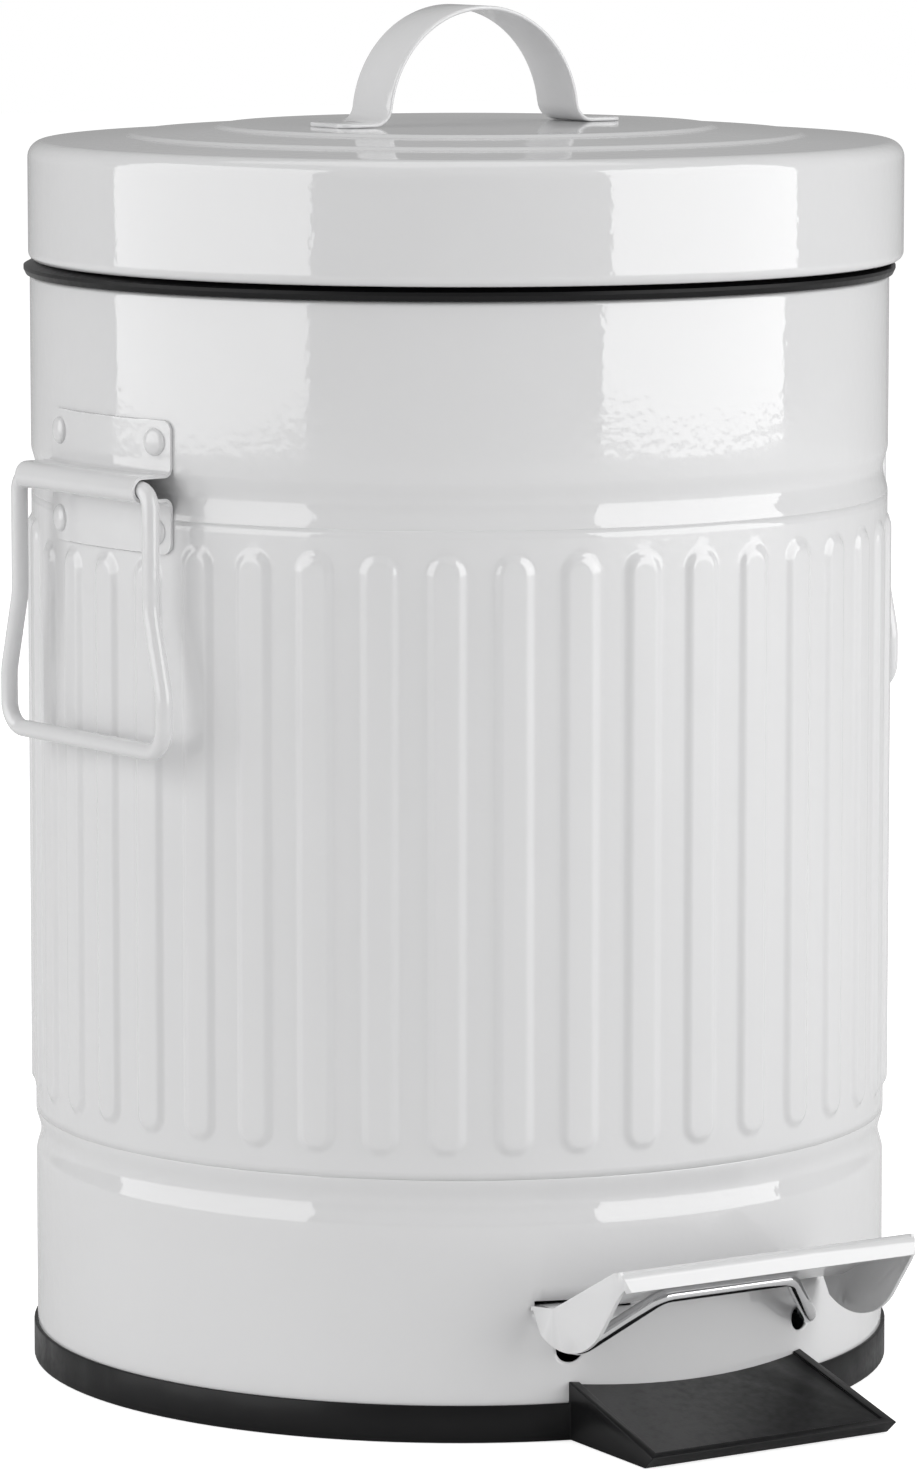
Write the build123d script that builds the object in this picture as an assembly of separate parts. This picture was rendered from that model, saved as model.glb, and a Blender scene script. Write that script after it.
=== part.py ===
from build123d import *
import math
import os

# Step-on waste bin: ribbed sheet-steel body, hinged lid, lift-out bucket and a wire pedal linkage.
# Millimetres, +Z up. The origin is on the body's axis at the floor. The pedal faces -Y, the lid's
# hinge is at +Y, and the two side handles are near -X and +X.
# Azimuths are degrees about +Z, counted from the pedal's direction, -Y.

# Gap between pieces that are riveted, welded or pressed together
seat = 0.03
# Gap round a pin or shaft that turns
running = 0.05

# Body wall
body_radius = 102.5
body_sheet = 0.6
band_low = 53.4
band_high = 46.2
curl_radius = 1.3
curl_sides = 8
groove_depth = 1.15
groove_half = 5.2
groove_floor_half = 1.6
groove_to_rib = 10.7
seam_width = 6.0
seam_fold = 0.6

# Pressed ribs
rib_count = 41
rib_pitch = 8.55
rib_length = 138.8
rib_width = 9.8
rib_height = 1.0
rib_slope = 2.6
rib_end_flats = 6

# Base ring and bottom plate
ring_height = 8.7
ring_lip = 0.85
ring_floor = 2.0
ring_web = 1.6
plate_height = 10.0
plate_sheet = 0.6

# Wedge foot in front of the ring
foot_reach = 31.5
foot_half_back = 32.5
foot_half_front = 34.0
foot_back_height = 13.7
foot_front_height = 3.0
foot_undercut = 3.5
foot_wall = 2.0
foot_border = 2.6
foot_recess = 0.5

# Side handles
handle_turn = 4.0
handle_rise = 1.9
handle_out = 5.4
bracket_half = 24.4
bracket_height = 30.8
bracket_sheet = 0.8
bracket_corner = 2.5
bail_wire = 4.0
bail_play = 0.35
bail_drop = 60.0
bail_straight = 28.0
bail_flare = 18.7
bail_half_top = 27.25
bail_half_low = 32.25
bail_bend_top = 4.0
bail_bend_low = 6.0
bail_bend_flare = 14.0
bracket_rivet_out = 19.4
bracket_rivet_rise = 10.3

# Number of flats on a bent wire
wire_sides = 12

# Rivets
rivet_head = 3.2
rivet_crown = 1.7
rivet_dome = 1.3
rivet_shank = 1.6
rivet_tail = 2.6
rivet_tail_height = 0.8
rivet_sides = 12
rivet_drill = 6.0

# Lid
lid_overhang = 1.7
lid_sheet = 0.6
lid_shift = 2.8
lid_skirt = 28.4
lid_edge = 4.0
lid_hem = 2.2
lid_dome = 3.6
dome_ring_outer = 79.0
dome_ring_inner = 58.0
dome_step = 0.8
dome_step_run = 2.2

# Lid strap handle
strap_width = 17.0
strap_sheet = 1.0
strap_arch = 26.8
strap_height = 28.1
strap_bend = 4.0
strap_half = 39.5
strap_corner = 3.0

# Lid hinge
hinge_out = 5.0
hinge_drop = 15.8
hinge_pin_radius = 2.0
hinge_pin_head = 3.4
hinge_pin_head_height = 1.2
lid_open = 80.0
cheek_inner = 9.0
cheek_sheet = 1.2
cheek_boss = 4.4
cheek_depth = 5.2
cheek_gap = 0.4
pad_height = 16.5
pad_low_gap = 3.4
lid_rivet_gap = 8.0
hinge_base_half = 21.0
hinge_base_margin = 7.0
hinge_base_sheet = 1.2
hinge_rivet_out = 16.3
hinge_rivet_rise = 9.6

# Push rod and its guide
rod_radius = 1.5
rod_inset = 5.9
fork_play = 0.75
fork_prong = 1.7
fork_beyond = 0.8
rod_bar_beyond = 2.0
eye_wall = 1.8
eye_thickness = 3.0
eye_play = 0.2
eye_travel = 1.9
guide_height = 130.0
guide_sheet = 1.2
guide_half = 5.0
guide_leg = 12.0
guide_play = 0.3

# Inner bucket and its bail
bucket_gap = 11.5
bucket_taper = 7.0
bucket_wall = 1.6
bucket_clear = 1.0
bucket_floor = 1.8
flange_rise = 3.25
flange_inset = 0.8
flange_lip = 1.7
flange_tip_drop = 1.2
ear_out = 4.7
ear_thickness = 2.4
ear_half = 5.0
ear_height = 6.6
ear_hole_height = 2.1
bucket_bail_wire = 3.0
bucket_bail_bend = 3.0
bucket_bail_play = 0.1
bucket_bail_gap = 0.3
bucket_bail_beyond = 0.7

# Pedal
pedal_half = 41.0
pedal_sheet = 1.0
pedal_inset = 4.9
pedal_height = 31.6
pedal_tab_tilt = 6.5
pedal_tab_out = 6.2
pedal_slope = 27.0
pedal_reach = 33.0
pedal_lip = 4.6
pedal_lip_lean = 1.9
pedal_bend = 2.2
pedal_corner = 4.0
pedal_wall_gap = 0.5
tab_near = 19.2
tab_far = 38.6
tab_behind = 7.2
tab_hook = 3.4
slot_play = 1.4
slot_height = 2.3
wing_back = 2.4
wing_back_drop = 0.4
wing_belly = 12.9
wing_half = 12.0
wing_depth = 8.0
wing_front_rise = 6.3
wing_back_rise = 2.2
wing_tip_drop = 3.6

# Lever wire and its fulcrum
lever_wire = 3.5
lever_arm_out = 32.3
lever_height = 22.0
lever_hole = 3.0
lever_hole_drop = 0.95
lever_bend = 5.0
lever_bend_out = 4.4
lever_bar_half = 18.0
lever_bar_reach = 16.4
lever_rear_half = 13.0
lever_straight = 27.0
pedal_bar_gap = 0.05
fulcrum_inset = 22.5
fulcrum_shaft = 2.0
fulcrum_shaft_head = 3.0
fulcrum_shaft_head_height = 1.0
sleeve_radius = 3.2
sleeve_half = 5.0
sleeve_side_gap = 0.4
fulcrum_sheet = 1.2
fulcrum_ear_half = 4.5
fulcrum_base_margin = 6.0
fulcrum_base_half = 9.0

# Heights and radii that follow from the sizes above
body_low = ring_floor + seat
body_inner = body_radius - body_sheet
groove_low = body_low + band_low
rib_low = groove_low + groove_to_rib
rib_high = rib_low + rib_length
groove_high = rib_high + groove_to_rib
body_top = groove_high + band_high
ring_lip_inner = body_radius + seat
ring_outer = ring_lip_inner + ring_lip
plate_rim = body_inner - seat
plate_top = plate_height + plate_sheet
handle_azimuths = {"left": handle_turn - 90, "right": handle_turn + 90}
handle_radius = body_radius + handle_out
handle_height = groove_high + handle_rise
bracket_low = handle_height - bracket_height / 2
lid_radius = body_radius + lid_overhang
bucket_top_radius = body_radius - bucket_gap
bucket_low_radius = bucket_top_radius - bucket_taper
flange_low = body_top + seat
flange_top = flange_low + flange_rise
flange_flat = body_radius - flange_inset
flange_outer = flange_flat + flange_lip + flange_tip_drop / 2
lid_low = flange_top + 2 * seat
lid_rim = lid_low + lid_skirt
lid_top = lid_rim + lid_dome
hinge_y = body_radius + hinge_out
hinge_height = body_top - hinge_drop
rod_y = body_inner - rod_inset
rod_arm = hinge_y - rod_y
rod_stroke = 2 * rod_arm * math.tan(math.radians(lid_open / 2))
rod_bar_height = hinge_height - rod_stroke / 2
fork_reach = rod_arm / math.cos(math.radians(lid_open / 2)) + fork_beyond
fork_slot = rod_radius + fork_play
cheek_outer = cheek_inner + cheek_sheet
ear_inner = cheek_outer + cheek_gap
window_half_height = (
    (hinge_out + body_sheet) * math.tan(math.radians(lid_open / 2))
    + (fork_slot + fork_prong) / math.cos(math.radians(lid_open / 2))
    + cheek_gap
)
pedal_y = -(body_radius - pedal_inset)
fulcrum_y = -(body_radius - fulcrum_inset)
fulcrum_height = lever_height - lever_wire / 2 - seat - sleeve_radius
bucket_floor_height = lever_height + lever_wire / 2 + rod_stroke + bucket_clear
ear_near = bucket_top_radius + ear_out - ear_thickness / 2
ear_far = ear_near + ear_thickness
bucket_bail_height = flange_top + ear_hole_height
bucket_bail_end = ear_near - bucket_bail_gap
bucket_bail_radius = math.hypot(bucket_bail_end, bucket_bail_bend) - bucket_bail_bend


def turned(outline):
    """Solid of revolution about Z. The outline is a list of (radius, height) points."""
    return revolve(Plane.XZ * make_face(Polyline(*outline, close=True)), Axis.Z)


def cross_box(half_x, y_from, y_to, z_from, z_to):
    """Box centred on X = 0 between two Y and two Z values."""
    centre = (0, (y_from + y_to) / 2, (z_from + z_to) / 2)
    return Pos(*centre) * Box(2 * half_x, abs(y_to - y_from), abs(z_to - z_from))


def tube(outer, inner, low, high):
    """Straight tube about Z."""
    height = high - low
    return Pos(0, 0, low + height / 2) * (Cylinder(outer, height) - Cylinder(inner, height))


def cross_rod(radius, half, y, z):
    """Round rod along X, centred on X = 0."""
    return Pos(0, y, z) * Rot(0, 90, 0) * Cylinder(radius, 2 * half)


def side_plate(face, x_from, x_to):
    """Plate cut to an outline in the YZ plane, standing between two X values."""
    return extrude(Plane.YZ.offset(x_from) * face, x_to - x_from, dir=(1, 0, 0))


def strip(path, width, thickness):
    """Sheet strip bent along a path in a plane that holds the strip's thickness."""
    across = (path % 0).cross(Vector(1, 0, 0))
    start = Plane(path @ 0, x_dir=(1, 0, 0), z_dir=path % 0)
    if across.length < 0.5:
        start = Plane(path @ 0, x_dir=(0, 1, 0), z_dir=path % 0)
    return sweep(start * Rectangle(width, thickness), path=path)


def wire_along(path, radius):
    """Wire swept along a smooth path, many-sided so that its bends stay light."""
    return sweep(Plane(path @ 0, z_dir=path % 0) * RegularPolygon(radius, wire_sides), path=path)


def outward(radius, azimuth, z):
    """Plane on a cylinder about Z, facing straight out at an azimuth."""
    turn = math.radians(azimuth)
    way = (math.sin(turn), -math.cos(turn), 0)
    return Plane((radius * way[0], radius * way[1], z), x_dir=(0, 0, 1), z_dir=way)


def rivet(grip):
    """Rivet along Z: crowned head above 0, shank and upset tail below, for sheets grip thick."""
    tail_top = -grip - 2 * seat
    lean = math.degrees(math.atan2(rivet_head - rivet_crown, rivet_dome))
    head = extrude(Pos(0, 0, seat) * RegularPolygon(rivet_head, rivet_sides), rivet_dome, taper=lean)
    shank = extrude(Pos(0, 0, tail_top) * RegularPolygon(rivet_shank, rivet_sides), seat - tail_top)
    tail_low = tail_top - rivet_tail_height
    tail = extrude(Pos(0, 0, tail_low) * RegularPolygon(rivet_tail, rivet_sides), rivet_tail_height)
    return head + shank + tail


def rivet_hole():
    """Drill for a rivet's shank, long enough for any pair of sheets here."""
    drill = RegularPolygon(rivet_shank + seat, rivet_sides)
    return extrude(drill, rivet_drill, both=True)


def handle_rivet_planes(azimuth, radius):
    """The four rivet places of a handle bracket, on a cylinder of the given radius."""
    swing = math.degrees(math.asin(bracket_rivet_out / body_radius))
    return [
        outward(radius, azimuth + side * swing, handle_height + rise * bracket_rivet_rise)
        for side in (-1, 1)
        for rise in (-1, 1)
    ]


def hinge_rivet_planes(radius):
    """The four rivet places of the hinge base, on a cylinder of the given radius."""
    swing = math.degrees(math.asin(hinge_rivet_out / body_radius))
    return [
        outward(radius, 180 + side * swing, hinge_height + up * hinge_rivet_rise)
        for side in (-1, 1)
        for up in (-1, 1)
    ]


def grooved_core(radius, low, high):
    """Solid bounded by the wall's line, with its two grooves, at one plain radius."""
    outline = [(0, low), (radius, low)]
    for centre in (groove_low, groove_high):
        outline += [
            (radius, centre - groove_half),
            (radius - groove_depth, centre - groove_floor_half),
            (radius - groove_depth, centre + groove_floor_half),
            (radius, centre + groove_half),
        ]
    return turned([*outline, (radius, high), (0, high)])


def rib_plan(length, width):
    """Long outline of a rib whose round ends have a few flats each."""
    straight = (length - width) / 2
    turns = [math.pi * i / rib_end_flats for i in range(rib_end_flats + 1)]
    end = [(straight + width / 2 * math.sin(t), width / 2 * math.cos(t)) for t in turns]
    return make_face(Polyline(*end, *[(-x, -y) for x, y in end], close=True))


def rib_pad(top):
    """Raised outside of one rib: a long round-ended shape whose sides slope down into the wall."""
    length = top - rib_low
    sunk = body_sheet / 2
    spread = 2 * rib_slope * sunk / rib_height
    foot = rib_plan(length + spread, rib_width + spread)
    lean = math.degrees(math.atan2(rib_slope, rib_height))
    place = outward(body_radius - sunk, 0, rib_low + length / 2)
    return extrude(place * foot, sunk + rib_height, taper=lean)


def rib_pocket(top):
    """Hollow inside of one rib, which keeps the wall's thickness over the rib's straight run."""
    length = top - rib_low
    depth = rib_height + body_sheet
    spread = 2 * rib_slope * body_sheet / rib_height
    mouth = Rectangle(length - rib_width + spread, rib_width - body_sheet + spread)
    lean = math.degrees(math.atan2(rib_slope, rib_height))
    place = outward(body_inner - body_sheet, 0, rib_low + length / 2)
    return extrude(place * mouth, depth, taper=lean)


def rib_angles():
    """Azimuths of the ribs, and whether a handle bracket covers the rib's upper end."""
    cover = math.degrees(math.asin((bracket_half + rib_width / 2) / body_radius))
    angles = [(i - (rib_count - 1) / 2) * rib_pitch for i in range(rib_count)]
    covered = [
        any(abs((a - h + 180) % 360 - 180) < cover for h in handle_azimuths.values())
        for a in angles
    ]
    return list(zip(angles, covered))


def body_seam():
    """Folded seam inside the back of the wall."""
    low = plate_top + 1.5
    high = body_top - 2 * curl_radius
    ring = tube(body_inner + body_sheet / 2, body_inner - seam_fold, low, high)
    return ring & cross_box(seam_width / 2, 0, body_radius, low, high)


def body_shell():
    """Thin wall with grooves, hollow ribs, curled top edge, pedal slots, wire holes and window."""
    wall_high = body_top - curl_radius
    wall = grooved_core(body_radius, body_low, wall_high)
    curl_at = (body_radius - curl_radius, wall_high)
    section = RegularPolygon(curl_radius, curl_sides, major_radius=False, rotation=180 / curl_sides)
    curl = revolve(Plane.XZ * Pos(*curl_at) * section, Axis.Z)
    plain_pad = rib_pad(rib_high)
    plain_pocket = rib_pocket(rib_high)
    short_pad = rib_pad(bracket_low - rib_height)
    short_pocket = rib_pocket(bracket_low - rib_height)
    pads = []
    pockets = []
    for angle, covered in rib_angles():
        turn = Rot(0, 0, angle)
        pads.append(turn * (short_pad if covered else plain_pad))
        pockets.append(turn * (short_pocket if covered else plain_pocket))
    shell = wall - grooved_core(body_inner, body_low - 1, wall_high + 1)
    shell = shell + pads + [curl, body_seam()]
    return shell - pockets - pedal_slots() - wall_openings()


def pedal_slots():
    """The two slots that the pedal's tabs pass through."""
    near = tab_near - slot_play
    far = tab_far + slot_play
    slot = Box(far - near, body_radius / 2, slot_height)
    middle = (near + far) / 2
    return [Pos(side * middle, -body_radius, pedal_height) * slot for side in (-1, 1)]


def wall_openings():
    """Holes for the lever's arms, the hinge window and the drills for the rivets."""
    bore = Rot(90, 0, 0) * Cylinder(lever_hole, body_radius / 2)
    holes = [
        Pos(side * lever_arm_out, -body_radius, lever_height - lever_hole_drop) * bore
        for side in (-1, 1)
    ]
    low = hinge_height - window_half_height
    high = hinge_height + window_half_height
    holes.append(cross_box(ear_inner, body_inner - 5, body_radius + 5, low, high))
    for azimuth in handle_azimuths.values():
        holes += [place * rivet_hole() for place in handle_rivet_planes(azimuth, body_radius)]
    holes += [place * rivet_hole() for place in hinge_rivet_planes(body_radius)]
    return holes


def base_ring():
    """Moulded ring that grips the wall's lower edge, with the wedge foot in front."""
    web_outer = plate_rim - plate_sheet - seat
    web_inner = web_outer - ring_web
    web_top = plate_height - ring_floor
    ring = turned(
        [
            (web_inner, 0),
            (ring_outer, 0),
            (ring_outer, ring_height),
            (ring_lip_inner, ring_height),
            (ring_lip_inner, ring_floor),
            (web_outer, ring_floor),
            (web_outer, web_top),
            (web_inner, web_top),
        ]
    )
    return ring + wedge_foot()


def foot_top(y):
    """Height of the wedge's sloping top at a place in front of the wall."""
    corner = -math.sqrt(ring_lip_inner**2 - foot_half_back**2)
    front = -(body_radius + foot_reach)
    fall = (foot_back_height - foot_front_height) / (corner - front)
    return foot_back_height - fall * (corner - y)


def foot_plan(inset):
    """Plan of the wedge as a tall solid, drawn in by an inset at its sides and front."""
    front = -(body_radius + foot_reach) + inset
    back = -math.sqrt(ring_lip_inner**2 - foot_half_back**2)
    near = foot_half_back - inset
    far = foot_half_front - inset
    plan = Polyline((near, 0), (near, back), (far, front), (-far, front), (-near, back), (-near, 0))
    plan = make_face([*plan.edges(), Line((-near, 0), (near, 0))])
    return extrude(Pos(0, 0, -1) * plan, foot_back_height * 4, dir=(0, 0, 1))


def foot_slice(points):
    """Solid of the wedge's width from an outline of (Y, Z) points."""
    face = make_face(Polyline(*points, close=True))
    return side_plate(face, -2 * foot_half_front, 2 * foot_half_front)


def wedge_foot():
    """Hollow wedge with a sunk top inside a raised border and two stiffening webs below."""
    front = -(body_radius + foot_reach)
    back = -body_radius / 2
    outer = foot_slice(
        [
            (back, 0),
            (back, foot_top(back)),
            (front, foot_front_height),
            (front + foot_undercut, 0),
        ]
    )
    wedge = (outer & foot_plan(0)) - Pos(0, 0, 50) * Cylinder(ring_lip_inner, 200)
    sink_front = front + foot_border
    sunk = foot_slice(
        [
            (back, foot_top(back) - foot_recess),
            (back, foot_top(back) + foot_wall),
            (sink_front, foot_top(sink_front) + foot_wall),
            (sink_front, foot_top(sink_front) - foot_recess),
        ]
    )
    wedge = wedge - (sunk & foot_plan(foot_border))
    roof = foot_wall + foot_recess
    cave_front = front + foot_undercut + 2 * foot_wall
    cave_back = -(ring_outer + foot_wall / 2)
    cave = foot_slice(
        [
            (cave_back, -1),
            (cave_back, foot_top(cave_back) - roof),
            (cave_front, foot_top(cave_front) - roof),
            (cave_front, -1),
        ]
    )
    cave = cave & foot_plan(foot_wall)
    web_at = foot_half_back / 3
    webs = [Pos(side * web_at, 0, 0) * Box(ring_web, 4 * body_radius, 100) for side in (-1, 1)]
    return wedge - (cave - webs)


def bottom_plate():
    """Pressed steel disc whose turned-down rim stands inside the wall's lower edge."""
    return turned(
        [
            (0, plate_height),
            (plate_rim - plate_sheet, plate_height),
            (plate_rim - plate_sheet, body_low),
            (plate_rim, body_low),
            (plate_rim, plate_top),
            (0, plate_top),
        ]
    )


def handle_bracket(azimuth):
    """Strip on the wall, folded out in its middle into a straight channel for the bail's bar."""
    outer = body_radius + seat + bracket_sheet
    plan = RectangleRounded(2 * bracket_half, bracket_height, bracket_corner)
    plate = extrude(Plane.XZ * Pos(0, handle_height) * plan, 2 * body_radius)
    plate = plate & tube(outer, body_radius + seat, bracket_low, bracket_low + bracket_height)
    bore = bail_wire / 2 + bail_play
    skin = bore + bracket_sheet
    deep = 2 * handle_out + bracket_half**2 / body_radius
    channel = []
    for size, half in ((skin, bracket_half), (bore, bracket_half + 1)):
        bar = cross_rod(size, half, -handle_radius, handle_height)
        back = Pos(0, -handle_radius + deep / 2, handle_height) * Box(2 * half, deep, 2 * size)
        channel.append(bar + back)
    bracket = plate + channel[0] - channel[1]
    bracket = bracket - Pos(0, 0, handle_height) * Cylinder(body_radius + seat, 2 * bracket_height)
    bracket = Rot(0, 0, azimuth) * bracket
    return bracket - [place * rivet_hole() for place in handle_rivet_planes(azimuth, body_radius)]


def handle_rivets(azimuth):
    """Four rivets through a handle bracket and the wall."""
    grip = bracket_sheet + body_sheet + seat
    radius = body_radius + seat + bracket_sheet
    return Compound([place * rivet(grip) for place in handle_rivet_planes(azimuth, radius)])


def side_bail(azimuth):
    """Closed wire loop that hangs from its top bar and flares out towards its grip."""
    high = handle_height
    flare_high = high - bail_straight
    flare_low = flare_high - bail_flare
    low = high - bail_drop
    right = [
        (bail_half_top, high),
        (bail_half_top, flare_high),
        (bail_half_low, flare_low),
        (bail_half_low, low),
    ]
    left = [(-x, z) for x, z in reversed(right)]
    bends = [bail_bend_top, bail_bend_flare, bail_bend_flare, bail_bend_low]
    points = [(x, -handle_radius, z) for x, z in right + left]
    path = FilletPolyline(*points, radius=bends + bends[::-1], close=True)
    return Rot(0, 0, azimuth) * wire_along(path, bail_wire / 2)


def lid_outline(inner):
    """Edges of the lid's outer line, or of its inner line, from the axis to the hem's end."""
    sheet = lid_sheet if inner else 0
    top = lid_top - sheet
    rim = lid_rim - sheet
    side = lid_radius - sheet
    shoulder = lid_radius - lid_edge
    steps = [(0, top)]
    fall = (lid_dome - 2 * dome_step) / 2
    for radius, height in ((dome_ring_inner, top), (dome_ring_outer, top - dome_step - fall)):
        steps += [(radius, height), (radius + dome_step_run, height - dome_step)]
    steps.append((shoulder, rim))
    edges = Polyline(*steps).edges()
    low = lid_rim - lid_edge
    hem_top = lid_low + lid_hem
    if inner:
        edges.append(Line((shoulder, rim), (side, low)))
    else:
        bulge = lid_edge * math.sqrt(0.5)
        edges += Polyline((shoulder, rim), (shoulder + bulge, low + bulge), (side, low)).edges()
    edges.append(Line((side, low), (side, hem_top)))
    hem = lid_hem - sheet
    hem_centre = lid_radius - lid_hem
    hem_middle = (hem_centre + hem * math.sqrt(0.5), hem_top - hem * math.sqrt(0.5))
    hem_end = (hem_centre, hem_top - hem)
    edges += Polyline((side, hem_top), hem_middle, hem_end).edges()
    return edges, hem_end


def lid_shell():
    """Domed cap with two pressed rings, a rounded shoulder, a skirt and a turned-in hem."""
    outer, outer_end = lid_outline(False)
    inner, inner_end = lid_outline(True)
    close = [Line(outer_end, inner_end), Line((0, lid_top - lid_sheet), (0, lid_top))]
    lid = revolve(Plane.XZ * make_face([*outer, *inner, *close]), Axis.Z)
    lid = Pos(0, -lid_shift, 0) * lid
    return lid - [place * rivet_hole() for place in lid_rivet_planes(lid_radius)]


def strap_line(arch, bend, foot):
    """Half of the strap's upper or lower line, from a foot's end to the crown of the arch."""
    centre = lid_top + strap_height - strap_arch
    rise = foot + bend - centre
    out = math.sqrt((arch + bend) ** 2 - rise**2)
    turn = math.atan2(rise, out)
    spring = (arch * math.cos(turn), centre + arch * math.sin(turn))
    half_bend = (turn + 2.5 * math.pi) / 2
    bend_at = (out + bend * math.cos(half_bend), foot + bend + bend * math.sin(half_bend))
    half_arch = (turn + math.pi / 2) / 2
    arch_at = (arch * math.cos(half_arch), centre + arch * math.sin(half_arch))
    return [
        Line((strap_half, foot), (out, foot)),
        ThreePointArc((out, foot), bend_at, spring),
        ThreePointArc(spring, arch_at, (0, centre + arch)),
    ]


def lid_strap():
    """Bent strap handle: two short feet and a round arch between them."""
    low = lid_top + seat
    high = low + strap_sheet
    half = strap_line(strap_arch, strap_bend, high)
    half += strap_line(strap_arch - strap_sheet, strap_bend + strap_sheet, low)
    half.append(Line((strap_half, low), (strap_half, high)))
    side = make_face([*half, *[mirror(edge, about=Plane.YZ) for edge in half]])
    strap = extrude(Plane.XZ.offset(lid_shift - strap_width / 2) * side, strap_width)
    plan = RectangleRounded(2 * strap_half, strap_width, strap_corner)
    return strap & extrude(Pos(0, -lid_shift, lid_top) * plan, 2 * strap_height)


def lid_rivet_planes(radius):
    """The two rivet places of the lid's hinge plate, one above the other on the skirt."""
    middle = lid_low + pad_low_gap + pad_height / 2
    planes = []
    for side in (-1, 1):
        place = outward(radius, 180, middle + side * lid_rivet_gap / 2)
        planes.append(Plane(place.origin - Vector(0, lid_shift, 0), place.x_dir, place.z_dir))
    return planes


def cheek_face():
    """Outline of one hinge cheek in (Y, Z): lid pad edge, pin boss and forked lifting arm."""
    pad_y = lid_radius - lid_shift + seat
    pad_low = lid_low + pad_low_gap
    pad_high = pad_low + pad_height
    inner_y = max(flange_outer + 2 * cheek_gap, hinge_y - cheek_boss + cheek_gap)
    outer_y = hinge_y + cheek_boss - cheek_gap
    leaf = make_face(
        Polyline(
            (pad_y, pad_high),
            (pad_y, pad_low),
            (inner_y, pad_low - cheek_gap),
            (inner_y, hinge_height),
            (outer_y, hinge_height),
            (outer_y, pad_low),
            (pad_y + cheek_depth, pad_high),
            close=True,
        )
    )
    boss = Pos(hinge_y, hinge_height) * Circle(cheek_boss)
    arm = Pos(-fork_reach / 2, 0) * Rectangle(fork_reach, 2 * (fork_slot + fork_prong))
    slot_in = rod_arm - rod_radius - fork_play
    slot = Pos(-slot_in - fork_reach / 2, 0) * Rectangle(fork_reach, 2 * fork_slot)
    slot = slot + Pos(-slot_in, 0) * Circle(fork_slot)
    arm = Pos(hinge_y, hinge_height) * Rot(0, 0, lid_open / 2) * (arm - slot)
    hole = Pos(hinge_y, hinge_height) * Circle(hinge_pin_radius + running)
    return leaf + boss + arm - hole


def lid_hinge_plate():
    """Hinge leaf on the lid's skirt, with two cheeks that reach down and in to the push rod."""
    pad_low = lid_low + pad_low_gap
    pad_high = pad_low + pad_height
    pad_inner = lid_radius + seat
    pad = tube(pad_inner + cheek_sheet, pad_inner, pad_low, pad_high)
    pad = Pos(0, -lid_shift, 0) * pad
    pad = pad & cross_box(cheek_outer, 0, 2 * lid_radius, pad_low, pad_high)
    cheeks = [
        side_plate(cheek_face(), min(a, b), max(a, b))
        for a, b in ((cheek_inner, cheek_outer), (-cheek_inner, -cheek_outer))
    ]
    skirt = Pos(0, -lid_shift, lid_low + lid_skirt / 2) * Cylinder(pad_inner, 2 * lid_skirt)
    leaf_zone = cross_box(2 * cheek_outer, 0, 2 * lid_radius, pad_low - 1, pad_high + 1)
    plate = pad + [cheek - (skirt & leaf_zone) for cheek in cheeks]
    return plate - [place * rivet_hole() for place in lid_rivet_planes(lid_radius)]


def lid_hinge_rivets():
    """Two rivets through the hinge leaf and the lid's skirt."""
    grip = cheek_sheet + lid_sheet + seat
    radius = lid_radius + seat + cheek_sheet
    return Compound([place * rivet(grip) for place in lid_rivet_planes(radius)])


def hinge_bracket():
    """Base plate on the back of the wall round the window, with two ears that hold the pin."""
    low = hinge_height - window_half_height - hinge_base_margin
    high = min(hinge_height + window_half_height + hinge_base_margin, flange_low - 2 * seat)
    outer = body_radius + seat + hinge_base_sheet
    base = tube(outer, body_radius + seat, low, high)
    base = base & cross_box(hinge_base_half, 0, 2 * body_radius, low, high)
    window_low = hinge_height - window_half_height
    window_high = hinge_height + window_half_height
    base = base - cross_box(ear_inner, 0, 2 * body_radius, window_low, window_high)
    ear_root = body_radius + seat + hinge_base_sheet / 3
    ear = make_face(
        Polyline(
            (ear_root - 1, window_low),
            (hinge_y, hinge_height - cheek_boss),
            (hinge_y, hinge_height + cheek_boss),
            (ear_root - 1, window_high),
            close=True,
        )
    )
    ear = ear + Pos(hinge_y, hinge_height) * Circle(cheek_boss)
    ear = ear - Pos(hinge_y, hinge_height) * Circle(hinge_pin_radius + seat)
    ear_outer = ear_inner + hinge_base_sheet
    ears = [side_plate(ear, ear_inner, ear_outer), side_plate(ear, -ear_outer, -ear_inner)]
    bracket = base + ears
    bracket = bracket - Pos(0, 0, hinge_height) * Cylinder(body_radius + seat, 2 * (high - low))
    return bracket - [place * rivet_hole() for place in hinge_rivet_planes(body_radius)]


def hinge_bracket_rivets():
    """Four rivets through the hinge base and the wall."""
    grip = hinge_base_sheet + body_sheet + seat
    radius = body_radius + seat + hinge_base_sheet
    return Compound([place * rivet(grip) for place in hinge_rivet_planes(radius)])


def headed_pin(radius, half, head, head_height, y, z):
    """Pin along X with a flat head at each end, its shank reaching from head to head."""
    pin = cross_rod(radius, half, y, z)
    for side in (-1, 1):
        at = side * (half + head_height / 2)
        pin = pin + Pos(at, y, z) * Rot(0, 90, 0) * Cylinder(head, head_height)
    return pin


def hinge_pin():
    """Pin of the lid's hinge, headed outside the bracket's ears."""
    half = ear_inner + hinge_base_sheet + seat
    return headed_pin(
        hinge_pin_radius, half, hinge_pin_head, hinge_pin_head_height, hinge_y, hinge_height
    )


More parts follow.
